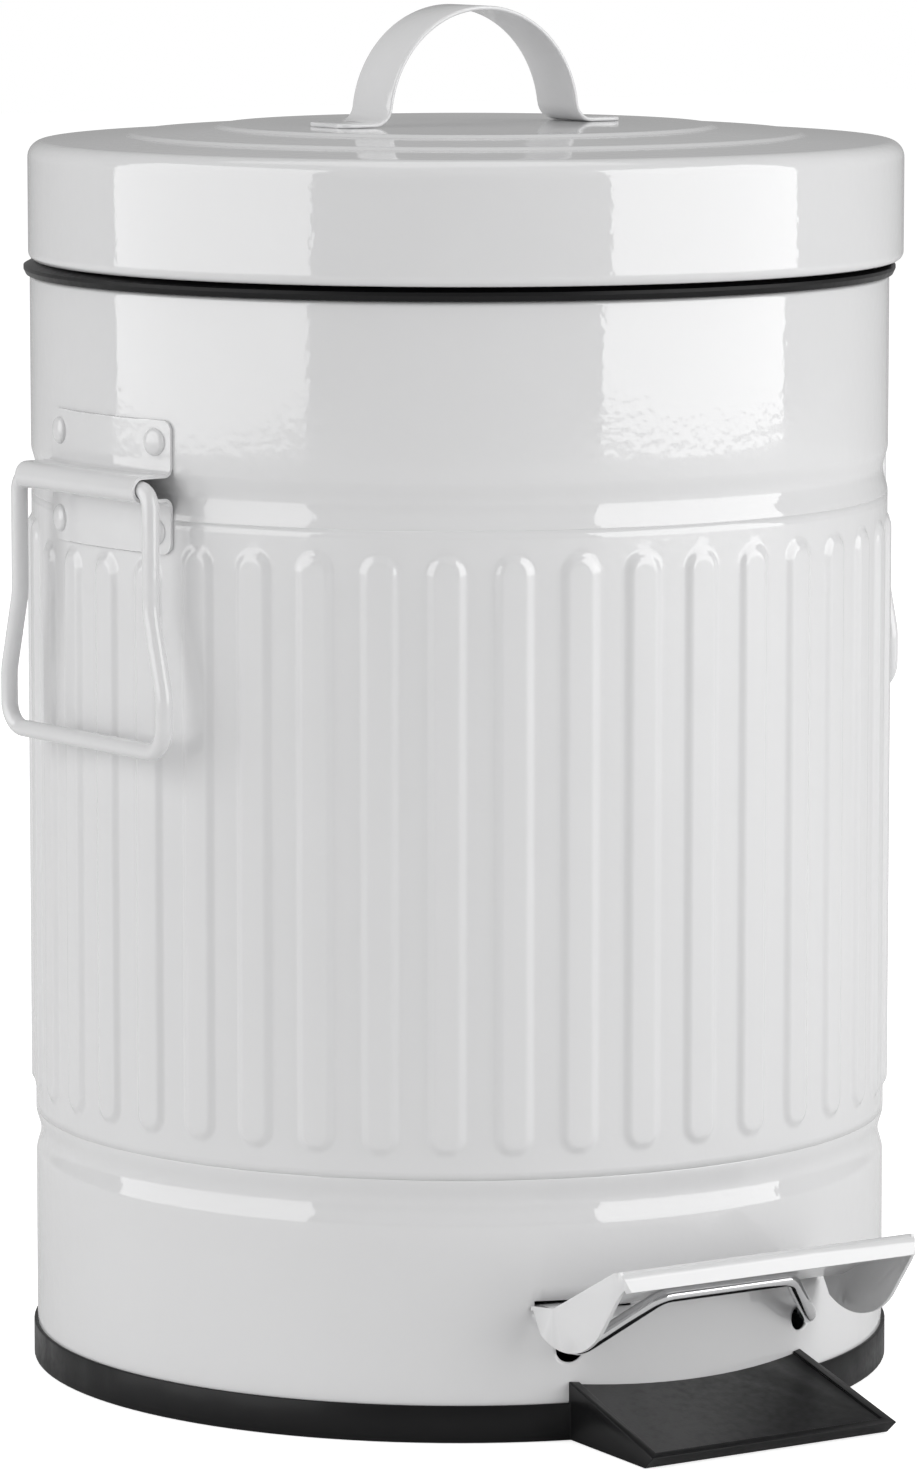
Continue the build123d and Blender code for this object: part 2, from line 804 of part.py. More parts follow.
def push_rod():
    """Upright rod: a cross bar in the hinge's forks above, an eye round the lever below."""
    bar_half = cheek_outer + rod_bar_beyond
    bar = cross_rod(rod_radius, bar_half, rod_y, rod_bar_height)
    eye_half = lever_wire / 2 + eye_play
    eye_length = 2 * eye_half + eye_travel
    eye_y = rod_y - eye_travel / 2
    outline = SlotOverall(eye_length + 2 * eye_wall, 2 * (eye_half + eye_wall))
    eye = outline - SlotOverall(eye_length, 2 * eye_half)
    half = eye_thickness / 2
    eye = side_plate(Pos(eye_y, lever_height) * eye, -half, half)
    low = lever_height + eye_half + eye_wall / 2
    length = rod_bar_height - low
    shank = Pos(0, rod_y, low + length / 2) * Cylinder(rod_radius, length)
    return shank + bar + eye


def rod_guide():
    """Small angle on the seam with a hole that keeps the push rod upright."""
    wall = body_inner - seam_fold - seat
    low = guide_height - guide_leg
    leg = tube(wall, wall - guide_sheet, low, guide_height + guide_sheet)
    leg = leg & cross_box(guide_half, 0, body_radius, low, guide_height + guide_sheet)
    inner_edge = rod_y - rod_radius - guide_play - guide_sheet
    shelf = cross_box(guide_half, inner_edge, body_radius, guide_height, guide_height + guide_sheet)
    shelf = shelf & Pos(0, 0, guide_height) * Cylinder(wall, 4 * guide_sheet)
    bore = Pos(0, rod_y, guide_height) * Cylinder(rod_radius + guide_play, 6 * guide_sheet)
    return leg + shelf - bore


def inner_bucket():
    """Tapered bucket that hangs by its flange on the body's curl, with two ears for its bail."""
    neck = bucket_top_radius
    lip = flange_flat + flange_lip
    inner_low = bucket_low_radius - bucket_wall
    floor = bucket_floor_height
    bucket = turned(
        [
            (0, floor),
            (bucket_low_radius, floor),
            (neck, flange_low),
            (lip, flange_low),
            (flange_outer, flange_top - flange_tip_drop - flange_rise / 4),
            (flange_outer, flange_top - flange_tip_drop),
            (flange_flat, flange_top),
            (neck - bucket_wall, flange_top),
            (inner_low, floor + bucket_floor),
            (0, floor + bucket_floor),
        ]
    )
    return bucket + bucket_ears()


def bucket_ears():
    """Upright lugs on the flange with the holes that the bail turns in."""
    sunk = flange_rise / 3
    face = Rectangle(2 * ear_half, ear_height + sunk)
    face = chamfer(face.vertices().group_by(Axis.Y)[-1], ear_half / 2)
    face = Pos(0, flange_top + (ear_height - sunk) / 2) * face
    face = face - Pos(0, bucket_bail_height) * Circle(bucket_bail_wire / 2 + bucket_bail_play)
    return [side_plate(face, ear_near, ear_far), side_plate(face, -ear_far, -ear_near)]


def bucket_bail():
    """Half-round wire that lies on the flange, its two ends turned out through the ears."""
    tip = ear_far + bucket_bail_beyond
    end = bucket_bail_end
    bend = bucket_bail_bend
    radius = bucket_bail_radius
    join = (radius * end / (radius + bend), -radius * bend / (radius + bend))
    corner = (end - bend * math.sin(math.pi / 4), -bend + bend * math.cos(math.pi / 4))
    right = [Line((tip, 0), (end, 0)), ThreePointArc((end, 0), corner, join)]
    bow = ThreePointArc(join, (0, -radius), (-join[0], join[1]))
    left = [
        ThreePointArc((-join[0], join[1]), (-corner[0], corner[1]), (-end, 0)),
        Line((-end, 0), (-tip, 0)),
    ]
    path = Pos(0, 0, bucket_bail_height) * Wire([*right, bow, *left])
    return wire_along(path, bucket_bail_wire / 2)


def pedal_line(y_from_axis):
    """Height of the pedal's sheet above its axis on the tab's line, at a place along Y."""
    return -y_from_axis * math.tan(math.radians(pedal_tab_tilt))


def pedal_points():
    """Middle line of the pedal's sheet in (Y, Z): tab end, bend, crest and the lip's end."""
    slope = math.tan(math.radians(pedal_slope))
    bend = (-pedal_tab_out, pedal_line(-pedal_tab_out))
    crest = (-pedal_reach, bend[1] + (pedal_reach - pedal_tab_out) * slope)
    lip = (crest[0] - pedal_lip_lean, crest[1] - pedal_lip)
    tab = (tab_behind, pedal_line(tab_behind))
    return [(pedal_y + y, pedal_height + z) for y, z in (tab, bend, crest, lip)]


def pedal_strip(points, bends, x_from, x_to):
    """Part of the pedal's sheet between two X values, bent through (Y, Z) points."""
    middle = (x_from + x_to) / 2
    path = FilletPolyline(*[(middle, y, z) for y, z in points], radius=bends)
    start = Plane(path @ 0, x_dir=(1, 0, 0), z_dir=path % 0)
    return sweep(start * Rectangle(x_to - x_from, pedal_sheet), path=path)


def pedal_wing():
    """Outline of one side wing in (Y, Z), hung from the sheet's middle line."""
    tab, bend, crest, lip = pedal_points()
    back = (pedal_y + wing_back, pedal_height - wing_back_drop)
    belly = pedal_height - wing_depth
    heel = (pedal_y - wing_belly + wing_half, belly + wing_back_rise)
    toe = (pedal_y - wing_belly - wing_half, belly + wing_front_rise)
    tip = (lip[0] + pedal_sheet / 2, crest[1] - wing_tip_drop)
    return make_face(
        [
            *Polyline(heel, back, bend, crest, tip, toe).edges(),
            ThreePointArc(toe, (pedal_y - wing_belly, belly), heel),
        ]
    )


def pedal():
    """Bent sheet pedal: two hooked tabs, a rising plate with a rolled lip, and two wings."""
    tab, bend, crest, lip = pedal_points()
    plate = pedal_strip([tab, bend, crest, lip], [pedal_bend, pedal_bend], -pedal_half, pedal_half)
    wings = [
        side_plate(pedal_wing(), pedal_half - pedal_sheet, pedal_half),
        side_plate(pedal_wing(), -pedal_half, pedal_sheet - pedal_half),
    ]
    blank = plate + wings
    blank = blank - Pos(0, 0, pedal_height) * Cylinder(body_radius + pedal_wall_gap, body_radius)
    deep = 4 * pedal_reach
    front = lip[0] - pedal_sheet
    plan = RectangleRounded(2 * pedal_half, deep, pedal_corner)
    blank = blank & extrude(Pos(0, front + deep / 2, 0) * plan, 3 * pedal_height)
    hook = (tab[0], tab[1] - tab_hook)
    end = (bend[0] - pedal_sheet, bend[1] + pedal_sheet * math.tan(math.radians(pedal_slope)))
    tabs = [
        pedal_strip([hook, tab, bend, end], [pedal_sheet, pedal_sheet / 2], x, x + tab_far - tab_near)
        for x in (tab_near, -tab_far)
    ]
    return blank + tabs


def lever_bar():
    """Place of the lever's front bar in (Y, Z), just under the pedal's plate."""
    tab, bend, crest, lip = pedal_points()
    slope = math.radians(pedal_slope)
    y = pedal_y - lever_bar_reach
    under = bend[1] + (bend[0] - y) * math.tan(slope)
    gap = pedal_sheet / 2 + pedal_bar_gap + lever_wire / 2
    return y, under - gap / math.cos(slope)


def lever_loop():
    """Closed wire: bar under the pedal, arms back through the wall, rear bar in the rod's eye."""
    bar_y, bar_z = lever_bar()
    wall_y = -math.sqrt(body_radius**2 - lever_arm_out**2)
    right = [
        (lever_rear_half, rod_y, lever_height),
        (lever_arm_out, wall_y + lever_straight, lever_height),
        (lever_arm_out, wall_y - lever_bend_out, lever_height),
        (lever_bar_half, bar_y, bar_z),
    ]
    left = [(-x, y, z) for x, y, z in reversed(right)]
    path = FilletPolyline(*right, *left, radius=lever_bend, close=True)
    return wire_along(path, lever_wire / 2)


def lever_sleeves():
    """Two short tubes under the lever's arms that turn on the fulcrum shaft."""
    ring = Cylinder(sleeve_radius, 2 * sleeve_half)
    ring = ring - Cylinder(fulcrum_shaft + running, 2 * sleeve_half)
    return Compound(
        [
            Pos(side * lever_arm_out, fulcrum_y, fulcrum_height) * Rot(0, 90, 0) * ring
            for side in (-1, 1)
        ]
    )


def fulcrum_bracket():
    """Saddle on the bottom plate whose two ears hold the fulcrum shaft."""
    ear_at = lever_arm_out + sleeve_half + sleeve_side_gap
    low = plate_top + seat
    high = low + fulcrum_sheet
    half = ear_at + fulcrum_sheet + fulcrum_base_margin
    base = cross_box(half, fulcrum_y - fulcrum_base_half, fulcrum_y + fulcrum_base_half, low, high)
    middle = (low + fulcrum_height) / 2
    face = Pos(fulcrum_y, middle) * Rectangle(2 * fulcrum_ear_half, fulcrum_height - low)
    face = face + Pos(fulcrum_y, fulcrum_height) * Circle(fulcrum_ear_half)
    face = face - Pos(fulcrum_y, fulcrum_height) * Circle(fulcrum_shaft + seat)
    ears = [
        side_plate(face, ear_at, ear_at + fulcrum_sheet),
        side_plate(face, -ear_at - fulcrum_sheet, -ear_at),
    ]
    return base + ears


def fulcrum_pin():
    """Shaft that the lever rocks on, headed outside the saddle's ears."""
    half = lever_arm_out + sleeve_half + sleeve_side_gap + fulcrum_sheet + seat
    return headed_pin(
        fulcrum_shaft,
        half,
        fulcrum_shaft_head,
        fulcrum_shaft_head_height,
        fulcrum_y,
        fulcrum_height,
    )


def all_parts():
    """Every sub-part by name."""
    parts = {
        "base_ring": base_ring(),
        "bottom_plate": bottom_plate(),
        "body_shell": body_shell(),
        "inner_bucket": inner_bucket(),
        "bucket_bail": bucket_bail(),
        "lid_shell": lid_shell(),
        "lid_strap": lid_strap(),
        "lid_hinge_plate": lid_hinge_plate(),
        "lid_hinge_rivets": lid_hinge_rivets(),
        "hinge_bracket": hinge_bracket(),
        "hinge_bracket_rivets": hinge_bracket_rivets(),
        "hinge_pin": hinge_pin(),
        "push_rod": push_rod(),
        "rod_guide": rod_guide(),
        "pedal": pedal(),
        "lever_wire": lever_loop(),
        "lever_sleeves": lever_sleeves(),
        "fulcrum_bracket": fulcrum_bracket(),
        "fulcrum_shaft": fulcrum_pin(),
    }
    for side, azimuth in handle_azimuths.items():
        parts[f"handle_bracket_{side}"] = handle_bracket(azimuth)
        parts[f"handle_rivets_{side}"] = handle_rivets(azimuth)
        parts[f"side_bail_{side}"] = side_bail(azimuth)
    return parts


def main():
    """Write each sub-part to its own file."""
    os.makedirs("parts", exist_ok=True)
    for name, shape in all_parts().items():
        export_step(shape, f"parts/{name}.step")


if __name__ == "__main__":
    main()
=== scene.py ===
import math

import bmesh
import bpy
import numpy as np
from bpy.props import FloatProperty, FloatVectorProperty, IntProperty, PointerProperty
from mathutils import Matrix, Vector


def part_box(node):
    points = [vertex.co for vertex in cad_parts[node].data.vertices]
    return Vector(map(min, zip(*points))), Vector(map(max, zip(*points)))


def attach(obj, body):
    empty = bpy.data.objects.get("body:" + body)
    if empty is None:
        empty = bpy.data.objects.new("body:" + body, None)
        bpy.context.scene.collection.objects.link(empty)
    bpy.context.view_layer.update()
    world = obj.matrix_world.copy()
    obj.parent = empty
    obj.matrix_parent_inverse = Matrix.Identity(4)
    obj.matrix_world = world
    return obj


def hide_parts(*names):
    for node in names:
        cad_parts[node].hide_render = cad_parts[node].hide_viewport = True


bl_info = {
    "name": "Step-on bin looks",
    "version": (1, 0, 0),
    "blender": (4, 5, 0),
    "location": "3D View > Sidebar > Bin",
    "description": "Enamelled sheet, bent wire and moulded plastic surfaces of a step-on waste bin",
    "category": "Object",
}

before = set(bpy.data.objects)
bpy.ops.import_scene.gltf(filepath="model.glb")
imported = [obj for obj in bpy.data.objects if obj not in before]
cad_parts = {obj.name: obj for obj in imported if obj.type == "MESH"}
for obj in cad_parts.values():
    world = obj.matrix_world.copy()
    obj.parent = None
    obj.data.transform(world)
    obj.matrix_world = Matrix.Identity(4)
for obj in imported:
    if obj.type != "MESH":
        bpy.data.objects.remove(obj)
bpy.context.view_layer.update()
MM = 0.001

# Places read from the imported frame
LID_LOW, LID_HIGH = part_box("lid_shell")
BAIL_LOW, BAIL_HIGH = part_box("bucket_bail")
LEVER_LOW, LEVER_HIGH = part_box("lever_wire")
WALL_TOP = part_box("body_shell")[1].z
STRAP_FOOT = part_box("lid_strap")[0].z

# A point on the bin's axis, from which wall and brackets face outwards
AXIS_POINT = (0.0, 0.0, 0.15)

# Gap between seated sheets
SEAT = 0.03 * MM

# Openings of the wall: pedal slots, lever holes and the hinge window
SLOT_NEAR, SLOT_FAR = 17.8 * MM, 40.0 * MM
SLOT_HEIGHT, SLOT_HALF = 31.6 * MM, 1.15 * MM
HOLE_OUT, HOLE_HEIGHT, HOLE_RADIUS = 32.3 * MM, 21.05 * MM, 3.0 * MM
WINDOW_HALF, WINDOW_HEIGHT, WINDOW_RISE = 10.6 * MM, 246.03 * MM, 10.26 * MM

# Grid round a lever hole: half of the square that becomes the hole, half of the block that moves
# with it, the block's lines, and the share of the radius inside which quads are cut
HOLE_SQUARE, HOLE_BLOCK, HOLE_LINES, HOLE_INSIDE = 2.25 * MM, 6.0 * MM, 17, 0.92

# Columns of the plain bands: degrees between them, and radians kept free beside exact columns
COLUMN_STEP, COLUMN_ROOM, BLOCK_ROOM = 1.2, 0.008, 0.01

# Distances of a rib's grid lines from its middle, closest together on its slope
RIB_LINES = np.array([0.8, 1.7, 2.1, 2.5, 2.9, 3.3, 3.7, 4.1, 4.5, 4.95, 6.0]) * MM

# Flat strip between a groove and the seam of two bands
SEAM_CLEAR = 0.2 * MM

# Dome at a wire's end: its rings, and its height as a share of the wire's radius
DOME_RINGS, DOME_SHARE = 5, 0.6

# Rivet heads: points round them, the edge's lift off the sheet, and how deep the foot is sunk
RIVET_SIDES, RIVET_LIFT, RIVET_SINK = 32, 0.05 * MM, 0.4 * MM

# Pointiness at which an edge begins to count as convex and to take the painted edge highlight
EDGE_START = 0.53

# Camera of the photograph's view: turn from the front and tilt in radians, metres away and up
VIEW_TURN, VIEW_DOWN = math.radians(32.6), 0.1318
VIEW_FAR, VIEW_HEIGHT = 1.6842, 0.3735
VIEW_LENS, VIEW_SENSOR = 172.8, 36.0

# Soft boxes: name, degrees round from the camera, width and power, then what both share
SOFT_BOXES = (("soft_box_left", -71.0, 2.9, 54.0), ("soft_box_right", 65.5, 2.6, 66.0))
BOX_FAR, BOX_TALL, BOX_MIDDLE = 2.4, 3.0, 1.0
TOP_SIZE, TOP_POWER, TOP_PLACE = 1.6, 7.0, (0.0, 0.3, 2.2)

# Light of the surround, and the floor's half side, drop below the bin and lift for the camera
SURROUND = 0.34
FLOOR_HALF, FLOOR_DROP, FLOOR_LIFT = 6.0, 0.2 * MM, 0.74

# Side handles with the sign of their azimuth
HANDLES = (("left", -1), ("right", 1))

# Solids that keep their own surfaces, by slot
KEPT_SOLIDS = {
    "white_enamel": (
        "bottom_plate",
        "lid_hinge_plate",
        "lid_hinge_rivets",
        "hinge_bracket",
        "hinge_bracket_rivets",
    ),
    "black_plastic": ("inner_bucket",),
    "bright_steel": ("hinge_pin", "push_rod", "fulcrum_shaft"),
    "zinc_plate": ("rod_guide", "lever_sleeves", "fulcrum_bracket"),
}


def length(name, description, size):
    """A length with its label, typed in millimetres and kept in metres."""
    return FloatProperty(name=name, description=description, default=size * MM, unit="LENGTH", precision=5)


def colour(name, description, default):
    """A scene-linear colour with its label."""
    return FloatVectorProperty(
        name=name, description=description, default=default, subtype="COLOR", size=3, min=0.0, max=1.0
    )


class BinWallSizes(bpy.types.PropertyGroup):
    """Sizes of the ribbed wall."""

    radius: length("Radius", "Outer radius of the wall", 102.5)
    sheet: length("Sheet", "Thickness of the wall's sheet", 0.6)
    low: length("Lower edge", "Height of the wall's lower edge", 2.03)
    curl: length("Curl", "Radius of the curled top edge", 1.3)
    groove_low: length("Lower groove", "Height of the lower groove's middle", 55.43)
    groove_high: length("Upper groove", "Height of the upper groove's middle", 215.63)
    groove_half: length("Groove half", "Half of a groove's width", 5.4)
    groove_depth: length("Groove depth", "Depth of a groove", 1.15)
    rib_low: length("Rib foot", "Height of the ribs' lower ends", 66.13)
    rib_high: length("Rib head", "Height of the ribs' upper ends", 204.93)
    rib_short: length("Short rib head", "Height where a rib under a handle ends", 201.13)
    rib_width: length("Rib width", "Width of a rib at its foot", 9.8)
    rib_slope: length("Rib slope", "Width of a rib's sloping side", 2.4)
    rib_height: length("Rib height", "How far a rib stands out", 1.0)
    ribs: IntProperty(name="Ribs", description="Number of ribs", default=41)
    rib_pitch: FloatProperty(name="Rib pitch", description="Degrees from one rib to the next", default=8.55)


class BinHandleSizes(bpy.types.PropertyGroup):
    """Sizes of the two side handles."""

    turn: FloatProperty(name="Turn", description="Degrees the handles sit round from square", default=4.0)
    bar: length("Bar", "Radius from the axis to the handle's top bar", 107.9)
    height: length("Height", "Height of the handle's top bar", 217.53)
    half: length("Half width", "Half of the bracket's width", 24.4)
    tall: length("Bracket height", "Height of the bracket", 30.8)
    sheet: length("Sheet", "Thickness of the bracket's sheet", 0.8)
    bore: length("Bore", "Inner radius of the channel", 2.35)
    wire: length("Wire", "Radius of the handle's wire", 2.0)
    drop: length("Drop", "Height of the wire loop", 60.0)
    straight: length("Straight", "Length of the straight upper run", 28.0)
    flare: length("Flare", "Height over which the loop widens", 18.7)
    half_top: length("Top half", "Half width of the loop at the bar", 27.25)
    half_low: length("Low half", "Half width of the loop at the grip", 32.25)
    bend_top: length("Top bend", "Radius of the loop's upper bends", 4.0)
    bend_flare: length("Flare bend", "Radius of the flare's bends", 14.0)
    bend_low: length("Low bend", "Radius of the grip's bends", 6.0)
    fillet: length("Fillet", "Radius of the fillets beside the channel", 1.6)
    corner: length("Corner", "Radius of the bracket's corners", 2.5)
    bracket_edge: length("Bracket edge", "Rounding of the bracket's cut edges", 0.18)
    rivet_out: length("Rivet out", "Rivets' place along the bracket", 19.4)
    rivet_rise: length("Rivet rise", "Rivets' place above and below the bar", 10.3)
    rivet: length("Rivet", "Radius of a rivet's head", 3.2)
    dome: length("Rivet dome", "Height of a rivet's head", 1.3)


class BinLidSizes(bpy.types.PropertyGroup):
    """Sizes of the lid and its strap."""

    radius: length("Radius", "Outer radius of the lid", (LID_HIGH.x - LID_LOW.x) / 2 / MM)
    shift: length("Shift", "How far the lid's middle lies in front of the wall's", 2.8)
    sheet: length("Sheet", "Thickness of the lid's sheet", 0.6)
    low: length("Lower edge", "Height of the lid's lower edge", LID_LOW.z / MM)
    skirt: length("Skirt", "Height of the skirt", 28.4)
    dome: length("Dome", "Rise of the top above the rim", 3.6)
    edge: length("Edge", "Radius of the rounded shoulder", 4.0)
    hem: length("Hem", "Radius of the turned-in lower edge", 2.2)
    ring_inner: length("Inner ring", "Radius of the inner pressed step", 58.0)
    ring_outer: length("Outer ring", "Radius of the outer pressed step", 79.0)
    step: length("Step", "Height of a pressed step", 0.8)
    step_run: length("Step run", "Width of a pressed step", 2.6)
    strap_width: length("Strap width", "Width of the strap", 17.0)
    strap_sheet: length("Strap sheet", "Thickness of the strap", 1.0)
    strap_arch: length("Strap arch", "Outer radius of the strap's arch", 26.8)
    strap_height: length("Strap height", "Height of the strap above the lid's top", 28.1)
    strap_bend: length("Strap bend", "Inner radius of the bend above a foot", 4.0)
    strap_half: length("Strap half", "Half of the strap's length over its feet", 39.5)
    strap_corner: length("Strap corner", "Radius of a foot's corners", 3.0)


class BinWireSizes(bpy.types.PropertyGroup):
    """Sizes of the bright wires, and of the edges of the moulded and pressed parts."""

    lever: length("Lever wire", "Radius of the lever's wire", 1.75)
    lever_height: length("Lever height", "Height of the lever inside the wall", 22.0)
    lever_bend: length("Lever bend", "Radius of the lever's bends", 5.0)
    lever_rear: length("Lever rear", "Half width of the lever's rear bar", 13.0)
    lever_front: length("Lever front", "Half width of the bar under the pedal", 18.0)
    lever_inside: length("Lever inside", "Straight run inside the wall", 27.0)
    lever_outside: length("Lever outside", "Straight run outside the wall", 4.4)
    bail: length("Bail wire", "Radius of the bucket bail's wire", 1.5)
    bail_bend: length("Bail bend", "Radius of the bends at the bail's ends", 3.0)
    pedal_edge: length("Pedal edge", "Rounding of the pedal's edges", 0.3)
    foot_edge: length("Foot edge", "Rounding of the base ring's and foot's edges", 0.45)


class BinFinishes(bpy.types.PropertyGroup):
    """Colours of the finishes."""

    enamel: colour("Enamel", "Gloss white enamel", (0.72, 0.72, 0.725))
    plastic: colour("Plastic", "Black moulded plastic", (0.004, 0.004, 0.0045))
    steel: colour("Steel", "Bright drawn wire", (0.66, 0.66, 0.67))
    zinc: colour("Zinc", "Zinc plated sheet", (0.52, 0.53, 0.55))
    floor: colour("Floor", "Pale floor", (0.86, 0.86, 0.86))


def smooth_step(t):
    """Smooth rise from 0 to 1: three t squared less two t cubed, held at 0 and 1 outside."""
    t = np.clip(t, 0.0, 1.0)
    return t * t * (3.0 - 2.0 * t)


def grid_faces(rows, columns, wrap_rows=False, wrap_columns=False):
    """Quads between neighbouring rows and columns of a grid stored row by row."""
    row = np.arange(rows if wrap_rows else rows - 1)
    column = np.arange(columns if wrap_columns else columns - 1)
    r, c = np.meshgrid(row, column, indexing="ij")
    r2, c2 = (r + 1) % rows, (c + 1) % columns
    quads = np.stack([r * columns + c, r * columns + c2, r2 * columns + c2, r2 * columns + c], -1)
    return quads.reshape(-1, 4)


def new_object(name, data):
    """Object in the scene for a mesh, a light or a camera."""
    thing = bpy.data.objects.new(name, data)
    bpy.context.scene.collection.objects.link(thing)
    return thing


def place_piece(name, mesh, body, node, slot):
    """Smooth object for a finished mesh, in its slot's finish, that stands for a solid."""
    mesh.polygons.foreach_set("use_smooth", np.ones(len(mesh.polygons), bool))
    mesh.materials.append(finish(slot))
    piece = new_object(name, mesh)
    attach(piece, body)
    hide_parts(node)
    return piece


def make_piece(name, points, quads, body, node, slot, inside=None):
    """Piece from point and quad arrays. Doubled points are merged, and normals face away from the
    inside point, or outwards where the surface is closed."""
    mesh = bpy.data.meshes.new(name)
    mesh.from_pydata(points.reshape(-1, 3).tolist(), [], quads.tolist())
    work = bmesh.new()
    work.from_mesh(mesh)
    bmesh.ops.remove_doubles(work, verts=work.verts, dist=1e-6)
    bmesh.ops.recalc_face_normals(work, faces=work.faces)
    if inside is not None:
        middle = Vector(inside)
        facing = sum(f.normal.dot(f.calc_center_median() - middle) * f.calc_area() for f in work.faces)
        if facing < 0:
            bmesh.ops.reverse_faces(work, faces=work.faces)
    work.to_mesh(mesh)
    work.free()
    return place_piece(name, mesh, body, node, slot)


def thicken(piece, sheet, edge=0.0):
    """Gives a sheet its thickness inwards, and rounds its edges."""
    solid = piece.modifiers.new("Sheet", "SOLIDIFY")
    solid.thickness = sheet
    solid.offset = -1.0
    solid.use_even_offset = True
    if edge:
        soften(piece, edge)


def soften(piece, width, angle=35.0):
    """Rounds every edge sharper than an angle."""
    bevel = piece.modifiers.new("Edge", "BEVEL")
    bevel.width = width
    bevel.segments = 2
    bevel.limit_method = "ANGLE"
    bevel.angle_limit = math.radians(angle)
    bevel.harden_normals = True


def rounded_path(corners, radii, closed, turns=10):
    """Straight runs between corners, each corner an arc tangent to both of its runs. A point on an
    arc is the arc's centre plus its two end spokes, weighed by the sines of the angles left."""
    corners = np.asarray(corners, float)
    count = len(corners)
    parts = []
    share = np.linspace(0.0, 1.0, turns + 1)[:, None]
    for i, radius in enumerate(radii):
        if radius == 0 or (not closed and i in (0, count - 1)):
            parts.append(corners[i][None])
            continue
        back = corners[i - 1] - corners[i]
        on = corners[(i + 1) % count] - corners[i]
        back /= np.linalg.norm(back)
        on /= np.linalg.norm(on)
        half = math.acos(float(back @ on)) / 2
        middle = (back + on) / np.linalg.norm(back + on)
        centre = corners[i] + middle * radius / math.sin(half)
        first = corners[i] + back * radius / math.tan(half) - centre
        last = corners[i] + on * radius / math.tan(half) - centre
        sweep = math.pi - 2 * half
        spokes = np.sin((1 - share) * sweep) * first + np.sin(share * sweep) * last
        parts.append(centre + spokes / math.sin(sweep))
    return np.concatenate(parts)


def path_frames(path, up, closed):
    """Unit tangent, side and upper direction at each point of a path."""
    ahead = np.roll(path, -1, 0) - path
    ahead /= np.linalg.norm(ahead, axis=1, keepdims=True) + 1e-12
    behind = np.roll(ahead, 1, 0)
    if not closed:
        ahead[-1] = behind[-1]
        behind[0] = ahead[0]
    tangent = ahead + behind
    tangent /= np.linalg.norm(tangent, axis=1, keepdims=True)
    side = np.cross(tangent, np.asarray(up, float))
    side /= np.linalg.norm(side, axis=1, keepdims=True)
    return tangent, side, np.cross(side, tangent)


def wire(path, radius, up, closed, sides=24):
    """Round wire: at each place on the path a circle, radius times cosine along the side and sine
    along the upper direction. An open wire ends in domes whose circles shrink by a cosine."""
    tangent, side, rise = path_frames(path, up, closed)
    size = np.full(len(path), radius)
    if not closed:
        turn = np.linspace(math.pi / 2, 0, DOME_RINGS + 1)[:-1]
        reach = radius * DOME_SHARE * np.sin(turn)[:, None]
        path = np.concatenate([path[0] - tangent[0] * reach, path, path[-1] + tangent[-1] * reach[::-1]])
        size = np.concatenate([radius * np.cos(turn), size, radius * np.cos(turn[::-1])])
        times = np.ones(len(side), int)
        times[[0, -1]] = DOME_RINGS + 1
        side, rise = np.repeat(side, times, 0), np.repeat(rise, times, 0)
    angle = np.linspace(0, 2 * math.pi, sides, endpoint=False)[None, :, None]
    spoke = np.cos(angle) * side[:, None] + np.sin(angle) * rise[:, None]
    points = path[:, None] + size[:, None, None] * spoke
    return points, grid_faces(len(path), sides, wrap_rows=closed, wrap_columns=True)


def lathe(profile, shift, segments=288):
    """Turned surface about an upright axis that stands a shift in front of the origin: radius times
    the sine and cosine of the angle, at the profile's height."""
    angle = np.linspace(0, 2 * math.pi, segments, endpoint=False)
    x = profile[:, :1] * np.sin(angle)
    y = -shift - profile[:, :1] * np.cos(angle)
    z = np.repeat(profile[:, 1:], segments, 1)
    return np.stack([x, y, z], -1), grid_faces(len(profile), segments, False, True)


def arc_rows(across, up, radius, start, stop, count):
    """Arc about a centre, between two angles in degrees: radius times their cosine and sine."""
    turn = np.radians(np.linspace(start, stop, count))
    return np.stack([across + radius * np.cos(turn), up + radius * np.sin(turn)], -1)


def new_group(name, inputs, outputs):
    """Empty shader group. An input without a value is a vector, and all other sockets are numbers."""
    group = bpy.data.node_groups.new(name, "ShaderNodeTree")
    for label, value in inputs.items():
        kind = "NodeSocketVector" if value is None else "NodeSocketFloat"
        socket = group.interface.new_socket(label, in_out="INPUT", socket_type=kind)
        if value is not None:
            socket.default_value = value
    for label in outputs:
        group.interface.new_socket(label, in_out="OUTPUT", socket_type="NodeSocketFloat")
    return group, group.nodes.new("NodeGroupInput"), group.nodes.new("NodeGroupOutput")


def group_noise(group, given, scale, detail):
    """Soft noise over the group's vector, at the scale that one of its inputs gives."""
    noise = group.nodes.new("ShaderNodeTexNoise")
    noise.inputs["Detail"].default_value = detail
    group.links.new(given.outputs["Vector"], noise.inputs["Vector"])
    group.links.new(given.outputs[scale], noise.inputs["Scale"])
    return noise.outputs["Fac"]


def group_math(group, operation, *values):
    """Math node on numbers and on the outputs of other nodes."""
    node = group.nodes.new("ShaderNodeMath")
    node.operation = operation
    for place, value in zip(node.inputs, values):
        if isinstance(value, float):
            place.default_value = value
        else:
            group.links.new(value, place)
    return node


def ripple_group():
    """Two sizes of soft noise, added as one height: fine paint texture and long sheet waves."""
    sizes = {"Vector": None, "Fine scale": 400.0, "Long scale": 20.0, "Long share": 2.0}
    group, given, out = new_group("surface_ripple", sizes, ["Height"])
    fine = group_noise(group, given, "Fine scale", 1.0)
    long = group_noise(group, given, "Long scale", 0.5)
    height = group_math(group, "MULTIPLY_ADD", long, given.outputs["Long share"], fine)
    group.links.new(height.outputs[0], out.inputs["Height"])
    return group


